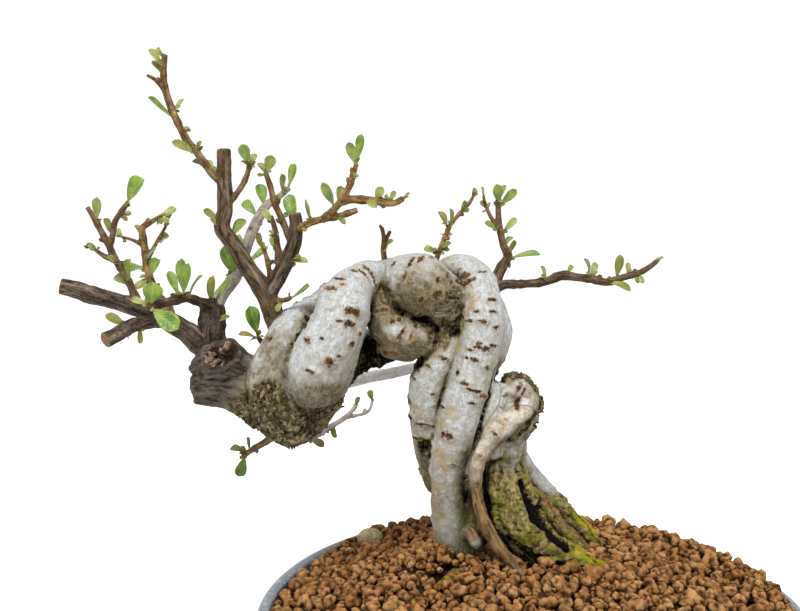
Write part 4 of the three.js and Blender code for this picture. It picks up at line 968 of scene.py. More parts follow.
def leaf_finish():
    look = Finish("young_leaf", 0.42, 0.35, Subsurface_Weight=0.15, Subsurface_Scale=0.001)
    look.shader.inputs["Subsurface Radius"].default_value = (0.4, 0.6, 0.15)
    where = look.place()
    fresh, along, across = (look.attribute(key) for key in ("fresh", "along", "across"))
    aside = look.math("ABSOLUTE", across)
    mottle = look.patches(where, 3.5, 3, 0.55, 0.35, 0.65)
    green = look.mix(mottle, (84, 122, 20), (134, 162, 44))
    olive = look.mix(mottle, (130, 134, 52), (178, 182, 104))
    colour = look.mix(fresh, olive, green)
    colour = look.mix(look.attribute("ruddy"), colour, look.mix(along, (150, 146, 62), (150, 104, 56)))
    colour = look.mix(look.ramp(along, 0.45, 0.0, 0, 0.6), colour, (160, 174, 84))
    slanted = look.math("ADD", along, look.math("MULTIPLY", aside, -0.35))
    ribs = look.math("SINE", look.math("MULTIPLY", slanted, 40))
    colour = look.mix(look.ramp(ribs, 0.7, 1.0, 0, 0.14), colour, (160, 178, 84))
    colour = look.mix(look.ramp(aside, 0.02, 0.12, 0.6, 0), colour, (176, 190, 106))
    colour = look.mix(look.ramp(aside, 0.86, 0.99, 0, 0.5), colour, (170, 168, 90))
    tip = look.math("MULTIPLY", look.ramp(along, 0.72, 1.0), look.attribute("brown_tip"))
    colour = look.mix(tip, colour, (128, 84, 46))
    colour = look.mix(look.math("MULTIPLY", look.attribute("under"), 0.55), colour, (164, 172, 118))
    normal = look.bump(look.ramp(aside, 0.0, 0.12), 0.1)
    normal = look.bump(ribs, 0.025, normal)
    return look.done(colour, normal)


def soil_finish():
    look = Finish("baked_clay_grains", 0.92, 0.05)
    where = look.place()
    colour = look.mix(look.attribute("tint"), (184, 124, 68), (240, 178, 112))
    colour = look.mix(look.patches(where, 1.4, 5, 0.75, 0.46, 0.66, 0, 0.7), colour, (246, 204, 146))
    colour = look.mix(look.patches(where, 0.7, 4, 0.8, 0.5, 0.64, 0, 0.7), colour, (96, 54, 22))
    # Painted shade: darker in the grains' dents and near black in the gaps between them
    colour = look.mix(look.attribute("hollow"), colour, (70, 38, 14))
    colour = look.mix(look.attribute("deep"), colour, (18, 9, 3))
    normal = look.bump(look.noise(where, 0.8, 6, 0.8), 0.7)
    return look.done(colour, normal)


def stone_finish():
    look = Finish("worn_stone", 0.85)
    where = look.place()
    colour = look.mix(look.patches(where, 3, 4, 0.55, 0.4, 0.62), (200, 178, 136), (238, 216, 174))
    colour = look.mix(look.patches(where, 0.9, 4, 0.55, 0.54, 0.68, 0, 0.8), colour, (84, 66, 46))
    return look.done(colour, look.bump(look.noise(where, 1.0, 5, 0.6), 0.3))


def glaze_finish():
    look = Finish("blue_grey_glaze", 0.3, 0.4, Coat_Weight=0.25, Coat_Roughness=0.15)
    where = look.place()
    colour = look.mix(look.patches(where, 16, 4, 0.55, 0.4, 0.62), (70, 80, 92), (112, 122, 132))
    colour = look.mix(look.patches(where, 1.4, 4, 0.7, 0.55, 0.72, 0, 0.55), colour, (52, 58, 68))
    colour = look.mix(look.attribute("edge"), colour, (116, 126, 134))
    flecks = look.patches(where, 1.8, 6, 0.75, 0.52, 0.6, 0, 0.8)
    crust = look.math("MULTIPLY", look.attribute("edge"), flecks)
    colour = look.mix(crust, colour, (196, 196, 190))
    bare = look.mix(look.noise(where, 2, 4), (120, 96, 74), (158, 132, 106))
    colour = look.mix(look.attribute("bare"), colour, bare)
    normal = look.bump(look.noise(where, 9, 3), 0.25)
    normal = look.bump(look.noise(where, 0.9, 3), 0.03, normal)
    return look.done(colour, normal)


def mesh_finish():
    look = Finish("drain_net", 0.55)
    where = look.place()
    colour = look.mix(look.noise(where, 2, 3), (28, 28, 28), (48, 48, 46))
    return look.done(colour, look.bump(look.noise(where, 0.6, 3), 0.05))


def floor_finish():
    look = Finish("white_sweep", 0.9)
    where = look.place()
    colour = look.mix(look.noise(where, 40, 3), [0.95, 0.95, 0.95, 1], [0.97, 0.97, 0.97, 1])
    return look.done(colour)


# Trunk
# Wood that fills the clefts by the column, under the knot and under the loop: (x, y, z, radius)
CLEFT_WOOD = [
    [(-17, 18, 56, 4), (-17.5, 17, 74, 3.6), (-17, 18, 92, 2.5)],
    [(-9.5, 16.5, 119, 3), (-11, 15.5, 113, 4.2), (-11.5, 15.5, 106, 4.6), (-11, 16.5, 97, 4)],
    [
        (-8.8, 18, 94, 2.6), (-8.8, 17.5, 88, 3.3), (-8.2, 17, 81.5, 3.3), (-5.5, 15.5, 75, 3.4),
        (-1, 13.5, 69.5, 3.6), (4, 12.5, 66, 3),
    ],
    [(-49, 25, 123, 2.6), (-46, 24.5, 124, 2.8), (-43, 23.5, 125.5, 2.6), (-39.5, 21.5, 127.5, 2.2)],
    [(-87, 13, 117, 2.6), (-84, 13, 113, 3.2), (-80.5, 13, 109.5, 3.4), (-76, 13, 107.5, 3)],
    [
        (-44, 16, 130.5, 2.4), (-40.5, 15.5, 129.5, 2.8), (-37, 16, 129, 3), (-33.5, 17, 129.5, 3),
        (-30.5, 19, 131, 2.4),
    ],
]
# Where a strand runs into the one beside it without a dark seam: (x, y, z, reach)
SOFT_PLACES = [
    (-71.5, 8, 130, 5), (-72, 8, 126, 6), (-71.5, 8, 122, 6), (-69.5, 8, 118, 6), (-66.5, 8, 115, 6),
]
# The seam between the column and the knob and vine beside it, painted dark as shade: (x, y, z, reach)
SEAM_LINE = [
    (-9.5, 12, 124, 1.2), (-11.5, 12, 118, 1.3), (-14, 11.5, 112, 1.4), (-15.4, 11.5, 104, 1.7),
    (-17.2, 12, 97, 2.1), (-17.8, 12, 90, 2.3), (-17.4, 12.3, 84, 1.5),
]
# Brown bark caught under the top of the vine: (x, y, z, reach)
VINE_UNDERSIDE = [(4, 17, 112, 2.2), (1, 15, 107.5, 2), (-3, 14, 104.5, 2), (-7.5, 13.5, 100.5, 1.6)]
# Strips of bark that lie across the hollow between the arch and the column: (x, z, half its width)
BARK_STRIPS = [
    [(-26.5, 143, 0.5), (-23.5, 143.5, 0.7), (-20.5, 145, 0.5)],
    [(-27.5, 141.5, 0.5), (-25, 142, 0.6), (-21.5, 143.5, 0.5)],
    [(-28, 139.5, 0.4), (-26, 140.5, 0.6), (-23, 141.5, 0.4)],
    [(-24.5, 139.5, 0.4), (-22.5, 140, 0.6), (-20.5, 141, 0.4)],
]
# Where the bark lies deeper: (x, y, z, reach, depth)
THIN_PLACES = [
    (-50.5, 26, 118, 7, 2.6), (-47, 27, 120.5, 6, 2), (-99.5, 9, 126, 6, 1.6), (-99.5, 9, 120, 6, 1.6),
    (-99.5, 9, 114, 6, 1.4), (-97.5, 9, 131, 5, 1.4), (-31, 20, 89, 8, 2.2), (4.5, 20, 117.5, 6, 1.5),
    (-59.5, 10, 112, 9, 2.6), (-62.5, 10, 107.5, 7, 1.6),
]
# Step along a strand, and the height where the bark is divided into its two pieces, in millimetres
STRAND_STEP = 1.2
UPPER_BARK_HEIGHT = 108
# How many loose flakes there are, and how often each listed strip is laid
CRUMBS = 900
STRIP_ROUNDS = 3
# Scars: how far one reaches, the value far from any, the width of a wart, and a strand's length for each one
SCAR_REACH = 4.0
NO_SCAR = 4.0
WART_WIDTH = 1.9
SCAR_SPACING = 3.4
# What each point of the bark tells its material
BARK_MARKS = (
    "grain", "relief", "rough", "dark", "lichen", "soaked", "gold", "orange", "moss", "old", "wound", "rust",
    "tan", "below", "scar", "fresh_scar", "shade", "lit", "olive", "peeled",
)


def nearest_strand(points, paths):
    """For each point: the closest path's number, and the point's place in that path's straightened grain."""
    best = np.full(len(points), np.inf)
    which = np.zeros(len(points), int)
    grain = np.zeros((len(points), 3))
    for number, path in enumerate(paths):
        low = (path.middle - path.radius[:, None]).min(0) - 6
        high = (path.middle + path.radius[:, None]).max(0) + 6
        near = np.flatnonzero(((points > low) & (points < high)).all(axis=1))
        for part in np.array_split(near, max(1, len(near) // POINTS_AT_ONCE)):
            if not len(part):
                continue
            spread = np.linalg.norm(points[part, None] - path.middle[None], axis=2) - path.radius
            step = spread.argmin(axis=1)
            gap = spread[np.arange(len(part)), step]
            closer = gap < best[part]
            chosen, step = part[closer], step[closer]
            best[chosen] = gap[closer]
            which[chosen] = number
            out = points[chosen] - path.middle[step]
            grain[chosen, 0] = (out * path.side[step]).sum(1)
            grain[chosen, 1] = (out * path.up[step]).sum(1)
            grain[chosen, 2] = path.run[step] + (out * path.ahead[step]).sum(1) + STRAND_APART * number
    return which, grain


def near_places(points, places, uneven):
    """How near each point is to any of the places, from 0 to 1, with uneven edges."""
    found = np.zeros(len(points))
    for x, y, z, reach in places:
        away = np.linalg.norm(points - (x, y, z), axis=1) * (1 + 0.35 * uneven)
        found = np.maximum(found, smooth_step(reach * 1.35, reach * 0.4, away))
    return found


def filled_in(marks, steps=6):
    """The marks with more of them set evenly between each and the next."""
    marks = np.array(marks, float)
    step = np.linspace(0, len(marks) - 1, steps * (len(marks) - 1) + 1)
    return np.stack([np.interp(step, np.arange(len(marks)), column) for column in marks.T], axis=1)


def scar_places(paths):
    """Every scar as (centre, across, along, half its width, half its height, how fresh).

    The listed ones come first, each wide one as a row of small warts, and then more on the sides that
    the list doesn't reach.
    """
    draw = np.random.default_rng(5)
    found = []
    for name, path in paths.items():
        scars = list(BARK_SCARS.get(name, ()))
        if path.radius.max() > 4.5:
            for _ in range(int(path.length / SCAR_SPACING)):
                scars.append((draw.uniform(0.08, 0.92), draw.uniform(85, 275),
                              draw.uniform(1.2, 4), draw.uniform(0.8, 2)))
        front, beside = path.front()
        for share, angle, across, along in scars:
            warts = max(1, round(across / WART_WIDTH))
            for k in range(warts):
                offset = (k - (warts - 1) / 2) * across / warts
                astray = draw.normal(0, 0.16 + 0.12 * along) / path.length * len(path.run)
                index = int(np.clip(share * (len(path.run) - 1) + astray, 0, len(path.run) - 1))
                swing = math.radians(angle) + (offset + draw.normal(0, 0.2)) / path.radius[index]
                out = front[index] * math.cos(swing) + beside[index] * math.sin(swing)
                centre = path.middle[index] + out * path.radius[index]
                sideways = np.cross(path.ahead[index], out)
                found.append((centre, sideways, path.ahead[index], across / warts * draw.uniform(0.42, 0.74),
                              max(0.4, along * draw.uniform(0.3, 0.62)), draw.random()))
    return found


def walled_in(surface, points, normals, reach, rays=10):
    """How much of what each point faces is closed off by the surface near by, from 0 to 1."""
    step = (np.arange(rays) + 0.5) / rays
    turn = np.arange(rays) * GOLDEN_ANGLE
    spread = np.sqrt(step)
    fan = np.stack([spread * np.cos(turn), spread * np.sin(turn), np.sqrt(1 - step) + 0.06], axis=1)
    side = unit(np.cross(normals, (0.31, 0.22, 0.92)))
    up = np.cross(normals, side)
    met = np.zeros(len(points))
    start = points + normals * 0.5
    for x, y, z in fan:
        pairs = zip(start.tolist(), (side * x + up * y + normals * z).tolist())
        met += [surface.ray_cast(origin, towards, reach)[0] is not None for origin, towards in pairs]
    return met / rays


def crumb_finish():
    look = Finish("bark_crumbs", 0.8, 0.03)
    fleck = look.noise(look.place(), 0.6, 3, 0.7)
    colour = look.mix(look.attribute("tone"), (42, 31, 18), (176, 162, 130))
    colour = look.mix(look.ramp(fleck, 0.5, 0.62, 0, 0.5), colour, (120, 104, 74))
    return look.done(colour, look.bump(fleck, 0.2))


def dress_crumbs(points, normals, share, painted_shade, surface):
    """Loose flakes on the bark, more where share is high, painted darker where the bark is shaded, and the
    loose strips.
    """
    draw = np.random.default_rng(12)
    corners, faces = round_ball(1)
    shells, tones = [], []
    for index in draw.choice(len(points), CRUMBS, replace=False, p=share / share.sum()):
        out = unit(normals[index] + 0.4 * draw.normal(size=3))
        along = unit(np.cross(out, draw.normal(size=3)))
        lengths = draw.uniform(0.4, 0.85) * np.array([draw.uniform(0.8, 2), draw.uniform(0.45, 0.9), 0.4])
        flake = corners * lengths * draw.uniform(0.7, 1.3, (len(corners), 1))
        flake = flake @ np.stack([along, np.cross(out, along), out]) + points[index]
        shells.append((flake, faces))
        tones.append(np.full(len(corners), 0.85 * draw.random() ** 1.8 * (1 - 0.7 * painted_shade[index])))
    for strip in BARK_STRIPS * STRIP_ROUNDS:
        aside = draw.normal(0, 0.55, 2)
        route = []
        for x, z, half in strip:
            met = surface.ray_cast((x + aside[0], -60, z + aside[1]), (0, 1, 0))[0]
            route.append((*met, half * draw.uniform(0.5, 0.95)))
        shells.append(Path(route, 0.8).tube(6))
        tones.append(np.full(len(shells[-1][0]), draw.uniform(0.1, 0.85)))
    corners, faces = joined(shells)
    add_piece("trunk_bark_crumbs", corners, faces, crumb_finish(), "trunk", ["trunk"], smooth=False,
              tone=np.concatenate(tones))


def trunk_skin(paths):
    """One skin round the strands and the wood in their clefts, and how far it belongs to each strand."""
    shells = [path.tube(28) for path in paths.values()]
    shells += [Path(route, STRAND_STEP).tube(16) for route in CLEFT_WOOD]
    points, quads = remeshed(shells, TRUNK_VOXEL)
    points = relaxed(points, quads, 3)
    which, grain = nearest_strand(points, list(paths.values()))
    names = list(paths)

    def of(*members):
        inside = np.isin(which, [names.index(member) for member in members]).astype(float)
        return smoothed(inside, quads, 5)

    return SimpleNamespace(points=points, quads=quads, normals=normals_of(points, quads), grain=grain, of=of)


def mark_bark(bark):
    """Sets how much of each kind of bark every point shows, mostly from 0 to 1."""
    points, normals, of = bark.points, bark.normals, bark.of
    uneven = bark.uneven = noise(points, 3.5, 3, 5)
    height = points[:, 2] + 2.5 * uneven
    ragged = height + 7 * noise(bark.grain * (1, 1, 0.25), 3.0, 3, 24)
    hollow = ((relaxed(points, bark.quads, 14) - points) * normals).sum(1)
    bark.soft = near_places(points, SOFT_PLACES, 0)
    bark.crease = smooth_step(0.06, 0.42, hollow)
    bark.vine = of("vine_root")
    bark.peeled = 0.9 * bark.vine
    bark.knob = of("right_knob") * smooth_step(95, 101, height)
    bark.lit = 0.85 * of("right_knob", "root_flare", "back_root") * smooth_step(87, 101, ragged)
    slant = 0.8 * np.clip(124 - points[:, 2], 0, 12)
    stump = smooth_step(-76, -86, points[:, 0] + 3 * uneven + slant) * smooth_step(140, 136, points[:, 2])
    bark.old = stump * of("stump", "wound_lump")
    # Painted shade with rough bark: the back strand's underside beneath the arms is made rough and dark
    buried = of("back_strand") * smooth_step(-34, -40, points[:, 0]) * smooth_step(-74, -66, points[:, 0])
    bark.buried = buried * smooth_step(0.5, -0.1, normals[:, 2] + 0.3 * uneven)
    underside = near_places(points, filled_in(VINE_UNDERSIDE, 3), 2 * uneven) * (1 - 0.7 * bark.vine)
    rough = np.maximum(near_places(points, ROUGH_PLACES, uneven), underside)
    bark.rough = np.clip(rough + bark.buried, 0, 1) * (1 - 0.7 * bark.old)
    # Painted shade: near black in the flare's cleft by the vine, the listed hollows, the seam, under the arms
    # and in deep creases
    cleft = smooth_step(-0.72, -0.96, normals[:, 0]) * smooth_step(96, 90, height) * of("root_flare")
    bark.dark = np.maximum.reduce([
        near_places(points, DARK_PLACES, uneven),
        0.8 * near_places(points, filled_in(SEAM_LINE), uneven) * (1 - bark.vine),
        0.75 * bark.buried,
        0.8 * (smooth_step(0.3, 0.62, hollow) * (1 - 0.8 * bark.soft)),
        0.9 * cleft,
    ])
    stained = smooth_step(0.1, -0.7, normals[:, 0]) * of("column", "left_column")
    stained *= 0.55 + 0.45 * smooth_step(104, 84, height)
    bark.tan = np.clip(0.9 * bark.crease + 0.9 * stained, 0, 1)
    # Painted shade on the column's right side
    bark.olive = smooth_step(-0.35, 0.6, normals[:, 0] + 0.12 * uneven) * of("column")
    bark.olive *= smooth_step(109, 98, height) * (0.3 + 0.7 * smooth_step(73, 83, height))
    # Painted shade on faces turned down, more on the stub, the loop and the bulge, with the listed places
    # added
    below = smooth_step(0.25, -0.7, normals[:, 2])
    below = below + 0.5 * of("base_stub") + 0.35 * of("lower_loop") + 0.15 * of("top_bulge")
    bark.below = np.clip(below + 0.75 * near_places(points, DARKENED_PLACES, uneven), 0, 1.1)
    mark_roots(bark, height, ragged)


def mark_roots(bark, height, ragged):
    """Sets the lichen, moss, gold and rust of the roots and the trunk's foot."""
    of, uneven = bark.of, bark.uneven
    x, _, z = bark.points.T
    side_light = bark.normals[:, 2] + 0.35 * bark.normals[:, 0]
    bark.lichen = of("root_flare", "back_root", "low_root", "right_knob") * smooth_step(102, 91, ragged)
    bark.lichen *= 1 - of("back_root") * smooth_step(79, 83, z)
    # Painted shade: low on the roots and on faces turned down
    low_or_facing_down = smooth_step(66, 62, height) + smooth_step(0.0, -0.6, bark.normals[:, 2])
    bark.soaked = bark.lichen * np.clip(low_or_facing_down, 0, 1)
    flare_gold = of("root_flare") * smooth_step(9, 17, x + 3 * uneven)
    flare_gold *= smooth_step(0.0, 0.5, bark.normals[:, 2])
    back_gold = 0.8 * of("back_root") * smooth_step(76, 72, height) * smooth_step(0.1, 0.5, side_light)
    bark.gold = np.maximum(flare_gold, back_gold)
    bark.orange = of("front_root") * smooth_step(70, 66, z)
    bark.moss = smooth_step(94, 74, z + 4 * uneven) * smooth_step(-24, -18, x) * of("column")
    bark.rust = np.maximum.reduce([
        of("low_root") * smooth_step(86, 82, height) * smooth_step(0.3, 0.7, side_light + 0.15 * uneven),
        0.8 * of("base_stub") * smooth_step(72, 74.5, z + uneven),
        0.95 * bark.vine * smooth_step(100, 87, height) * smooth_step(63, 68, z),
    ])


def raise_bark(bark):
    """Sets how far the bark rises in millimetres, and its relief as the material reads it."""
    points, grain = bark.points, bark.grain
    # Soft swells, lengthwise muscle and fine wrinkles across
    rise = 0.7 * noise(points, 11, 2, 1)
    rise += 0.35 * noise(grain * (1, 1, 0.16), 4.5, 2, 2) * (1 - 0.5 * bark.lichen)
    wrinkled = smooth_step(0.0, 0.5, noise(points, 9, 2, 3))
    rise += 0.16 * wrinkled * noise(grain * (0.3, 0.3, 1), 1.5, 2, 4)
    rise += 0.12 * noise(points, 1.6, 2, 19)
    relief = 0.35 + noise(grain * (1, 1, 0.4), 1.8, 3, 20)
    # Rough bark, lichen, the knob's scales, the stump's old bark and the vine
    stringy = creased(grain * (1, 1, 0.16), 2.0, 3, 6)
    crumbled = creased(points, 1.7, 3, 7)
    rise += bark.rough * (0.75 * stringy + 0.6 * crumbled + 0.35 * noise(points, 4, 2, 21) - 0.6)
    relief += bark.rough * (0.6 * stringy + 0.6 * crumbled - 0.15 - relief)
    knobbed = 0.75 * creased(grain * (1, 1, 0.5), 3.8, 3, 8) + 0.4 * creased(points, 1.5, 2, 18)
    rise += bark.lichen * (1.2 * knobbed - 0.5)
    relief += bark.lichen * (knobbed - 0.1 - relief)
    scales = smooth_step(0.0, 0.3, plates(grain * (1, 1, 0.8), 4.2, 15))
    rise += bark.knob * (0.7 * scales - 0.4)
    relief += bark.knob * (0.9 * scales - relief)
    barky = creased(grain * (1, 1, 0.22), 2.3, 3, 9)
    rise += bark.old * (0.9 * barky - 0.3 + 0.6 * noise(points, 3.4, 3, 16))
    relief += bark.old * (1.2 * barky - relief)
    rise += bark.vine * 0.4 * noise(grain * (0.6, 0.6, 1), 1.9, 3, 17)
    # Creases, hollows and trimmed places
    rise -= 0.5 * bark.crease * (1 - bark.soft) + 0.8 * bark.dark
    for x, y, z, reach, depth in THIN_PLACES:
        rise -= depth * smooth_step(reach, 0.3 * reach, np.linalg.norm(points - (x, y, z), axis=1))
    bark.rise, bark.relief = rise, relief


def carve_scars(bark, paths):
    """Sets how far each point is from its scar's middle, 1 at the scar's edge, and how fresh the scar is."""
    scar = np.full(len(bark.points), NO_SCAR)
    bark.fresh_scar = np.zeros(len(bark.points))
    for centre, sideways, ahead, wide, tall, tone in scar_places(paths):
        near = np.flatnonzero(np.abs(bark.points - centre).max(axis=1) < SCAR_REACH + 0.5)
        away = bark.points[near] - centre
        beyond = (away**2).sum(1) > SCAR_REACH**2
        size = np.sqrt(((away @ sideways) / wide) ** 2 + ((away @ ahead) / tall) ** 2 + beyond * 9)
        closer = size < scar[near]
        scar[near[closer]] = size[closer]
        bark.fresh_scar[near[closer]] = tone**4
    bark.scar = scar = np.where(bark.old + bark.lichen > 0.5, NO_SCAR, scar)
    bark.rise += 0.5 * np.exp(-(((scar - 1.15) / 0.5) ** 2)) - 0.35 * smooth_step(0.9, 0.3, scar)


def carve_crevice(bark):
    """Sets how deep in the crevice each point is, and sinks it."""
    points = bark.points
    split = np.zeros(len(points))
    for x, z, half in filled_in(CREVICE):
        away = np.hypot(points[:, 0] - x, points[:, 2] - z) / half + 0.3 * noise(points, 1.8, 3, 22)
        split = np.maximum(split, smooth_step(1.3, 0.75, away))
    bark.split = split * (bark.of("root_flare") * smooth_step(0.3, -0.1, bark.normals[:, 1]))
    bark.rise -= bark.split * (2.4 + 0.8 * noise(points, 1.5, 2, 23))


def carve_wound(bark):
    """The pruning wound: a callus rolled round a hollow with twisted wood in it."""
    offset = (bark.points - WOUND_PLACE) / WOUND_RADII
    away = np.linalg.norm(offset, axis=1) * (1 + 0.1 * bark.uneven)
    turn = np.arctan2(offset[:, 2], offset[:, 0]) + 1.6 * away
    twisted = creased(np.stack([away * 2.2, np.cos(turn) * 1.5, np.sin(turn) * 1.5], axis=1), 0.9, 2, 10)
    bark.wound = smooth_step(1.12, 0.92, away)
    bark.rise += 1.3 * np.exp(-(((away - 1.05) / 0.25) ** 2))
    bark.rise += smooth_step(1.0, 0.75, away) * (1.9 * twisted - 2.0)
    lump = np.where(away > 0.85, 0.5 + 0.3 * bark.uneven, 0.9 * twisted)
    bark.relief += bark.wound * (lump - bark.relief)
    # Painted shade: the wound's pit and the crevice go near black
    pit = 0.9 * smooth_step(0.75, 0.5, away) * smooth_step(0.35, 0.1, twisted)
    bark.dark = np.maximum.reduce([bark.dark, pit, bark.split])


def dress_trunk():
    paths = {name: Path(route, STRAND_STEP) for name, route in TRUNK_STRANDS.items()}
    bark = trunk_skin(paths)
    mark_bark(bark)
    raise_bark(bark)
    carve_scars(bark, paths)
    carve_crevice(bark)
    carve_wound(bark)
    quads = bark.quads
    points = bark.points + bark.normals * bark.rise[:, None]
    normals = normals_of(points, quads)
    surface = BVHTree.FromPolygons(points.tolist(), quads.tolist())
    shade = smoothed(walled_in(surface, points, normals, 11), quads, 2)
    bark.shade = shade * (1 - 0.6 * bark.lit) * (1 - 0.5 * bark.soft)
    flaky = np.clip(bark.rough + 0.5 * creased(points, 5, 2, 26) - 0.95, 0, 1)
    flaky = flaky * (1 - bark.old) * (1 - 0.6 * bark.buried)
    dress_crumbs(points, normals, flaky, np.maximum(bark.dark, bark.shade), surface)
    upper = points[quads].mean(axis=1)[:, 2] > UPPER_BARK_HEIGHT
    finish = trunk_finish()
    for part, chosen in (("upper", upper), ("lower", ~upper)):
        kept, corners = np.unique(quads[chosen], return_inverse=True)
        marks = {key: getattr(bark, key)[kept] for key in BARK_MARKS}
        add_piece("trunk_bark_" + part, points[kept], corners.reshape(-1, 4), finish, "trunk", ["trunk"],
                  normals=normals[kept], **marks)
    return paths


# Branches
# Step along a twig, the length between its nodes, how many nodes have a bud, and how long a bud is
TWIG_STEP = 0.6
TWIG_NODE_STEP = 5.0
BUD_SHARE = 0.4
BUD_LENGTH = 1.5


def swollen(path, draw):
    """Thickens a stem at its nodes, and gives where they are along it."""
    places = np.arange(TWIG_NODE_STEP * 0.6, path.length, TWIG_NODE_STEP)
    places = places + draw.uniform(-1.5, 1.5, len(places))
    node = np.zeros(len(path.run))
    for where in places:
        node = np.maximum(node, np.exp(-(((path.run - where) / 0.7) ** 2)))
    path.radius = path.radius * (1 + 0.14 * node * smooth_step(2.2, 1.2, path.radius))
    return places


def bud_on(path, index, draw):
    """A bud that leans forward from the side of a stem, as a closed tube."""
    turn = draw.uniform(0, 2 * math.pi)
    out = path.side[index] * math.cos(turn) + path.up[index] * math.sin(turn)
    root = path.middle[index] + out * path.radius[index] * 0.5
    size = draw.uniform(0.7, 1.2) * BUD_LENGTH
    tip = root + out * size * 0.75 + path.ahead[index] * size * 0.9
    mid = root + out * size * 0.6 + path.ahead[index] * size * 0.3
    return Path([(*root, 0.5), (*mid, 0.62), (*tip, 0.22)], 0.4).tube(8, 0.2)


def stem_shells(stems, draw):
    """The stems' paths, their tubes and buds, and the places of their nodes."""
    paths, shells, node_places = [], [], []
    for route, _ in stems:
        path = Path(route, TWIG_STEP)
        places = swollen(path, draw)
        paths.append(path)
        shells.append(path.tube(12, 0.12))
        for where in places:
            index = int(np.clip(np.searchsorted(path.run, where), 0, len(path.run) - 1))
            node_places.append(path.middle[index])
            if draw.random() < BUD_SHARE and path.radius[index] < 1.8:
                shells.append(bud_on(path, index, draw))
    return paths, shells, node_places


def cut_faces(name, points, grain, paths):
    """The pruned ends: how far each point is on one, how tan, its place in the rings, and torn fibres."""
    cut, tan = np.zeros(len(points)), np.zeros(len(points))
    rings, torn = np.zeros((len(points), 3)), np.zeros((len(points), 3))
    for number, tone in CUT_ENDS.get(name, ()):
        path = paths[number]
        beyond = (points - path.middle[-1]) @ path.ahead[-1]
        close = np.linalg.norm(points - path.middle[-1], axis=1) < path.radius[-1] * 1.25
        mask = smooth_step(-0.35, -0.05, beyond) * close
        jagged = 1.6 * max(0.0, 0.5 - tone) * np.abs(noise(points, 1.6, 3, 25))
        jagged = jagged * smooth_step(-1.6, 0, beyond) * close
        cut = np.maximum(cut, mask)
        torn += jagged[:, None] * path.ahead[-1]
        tan[mask > 0] = tone
        rings[mask > 0] = grain[mask > 0] * (1, 1, 0)
    return cut, tan, rings, torn


def dress_wood(name, stems, finish, slot, draw):
    paths, shells, node_places = stem_shells(stems, draw)
    points, quads = remeshed(shells, WOOD_VOXEL)
    points = relaxed(points, quads, 1, 0.4)
    normals = normals_of(points, quads)
    which, grain = nearest_strand(points, paths)
    thick = np.zeros(len(points))
    for number, path in enumerate(paths):
        mine = which == number
        thick[mine] = np.interp(grain[mine, 2] - STRAND_APART * number, path.run, path.radius)
    cut, tan, rings, torn = cut_faces(name, points, grain, paths)
    uneven = noise(points, 2.2, 3, 11)
    aged, pale = BARK_AGE[name], PALE_AND_LIT_BARK.get(name, 0.0)
    coarse = creased(grain * (1, 1, 0.16), 2.2, 3, 12) - 0.4
    strength = np.clip((thick - 0.7) / 2.4, 0.06, 1.2) * (0.4 + aged) * (1 - 0.8 * pale)
    rise = strength * (0.4 * coarse + 0.35 * noise(points, 2.6, 3, 13)) * (1 - cut)
    # Painted shade: the coarse bark goes near black in its cracks; the dark stub's own bark is darker all
    # over
    dark = smooth_step(-0.26, -0.38, coarse) * np.clip(strength * 1.2, 0, 0.8)
    if name == "stub_dark":
        rise += 1.1 * np.clip(thick - 2, 0, 1) * (0.4 - np.abs(noise(points, 3.1, 3, 14)))
        dark = np.clip(dark + 0.35 + 0.4 * uneven, 0, 1)
    rise += 0.1 * cut * noise(rings, 0.6, 2, 15)
    points = points + normals * rise[:, None] + torn
    age = np.clip(smooth_step(0.9, 2.3, thick) * 0.55 + aged * 0.8 + 0.25 * uneven - 0.2, 0, 1)
    node = np.zeros(len(points))
    for where in node_places:
        node = np.maximum(node, smooth_step(1.6, 0.5, np.linalg.norm(points - where, axis=1) - 1.0))
    node *= (1 - cut) * (1 - pale)
    add_piece(name + "_wood", points, quads, finish, slot, [name], grain=grain, age=age, node=node,
              dark=dark * (1 - cut), cut=cut, tan=tan, rings=rings, pale=np.full(len(points), pale))
    return paths


# The stalk's share of a leaf's length, and how far a leaf's halves fold up from its midrib
PETIOLE = 0.15
LEAF_FOLD = 0.16
# Small leaves and large ones: rows along, corners across, thickness
LEAF_MAKE = {True: (5, 5, 0.22), False: (13, 7, 0.34)}


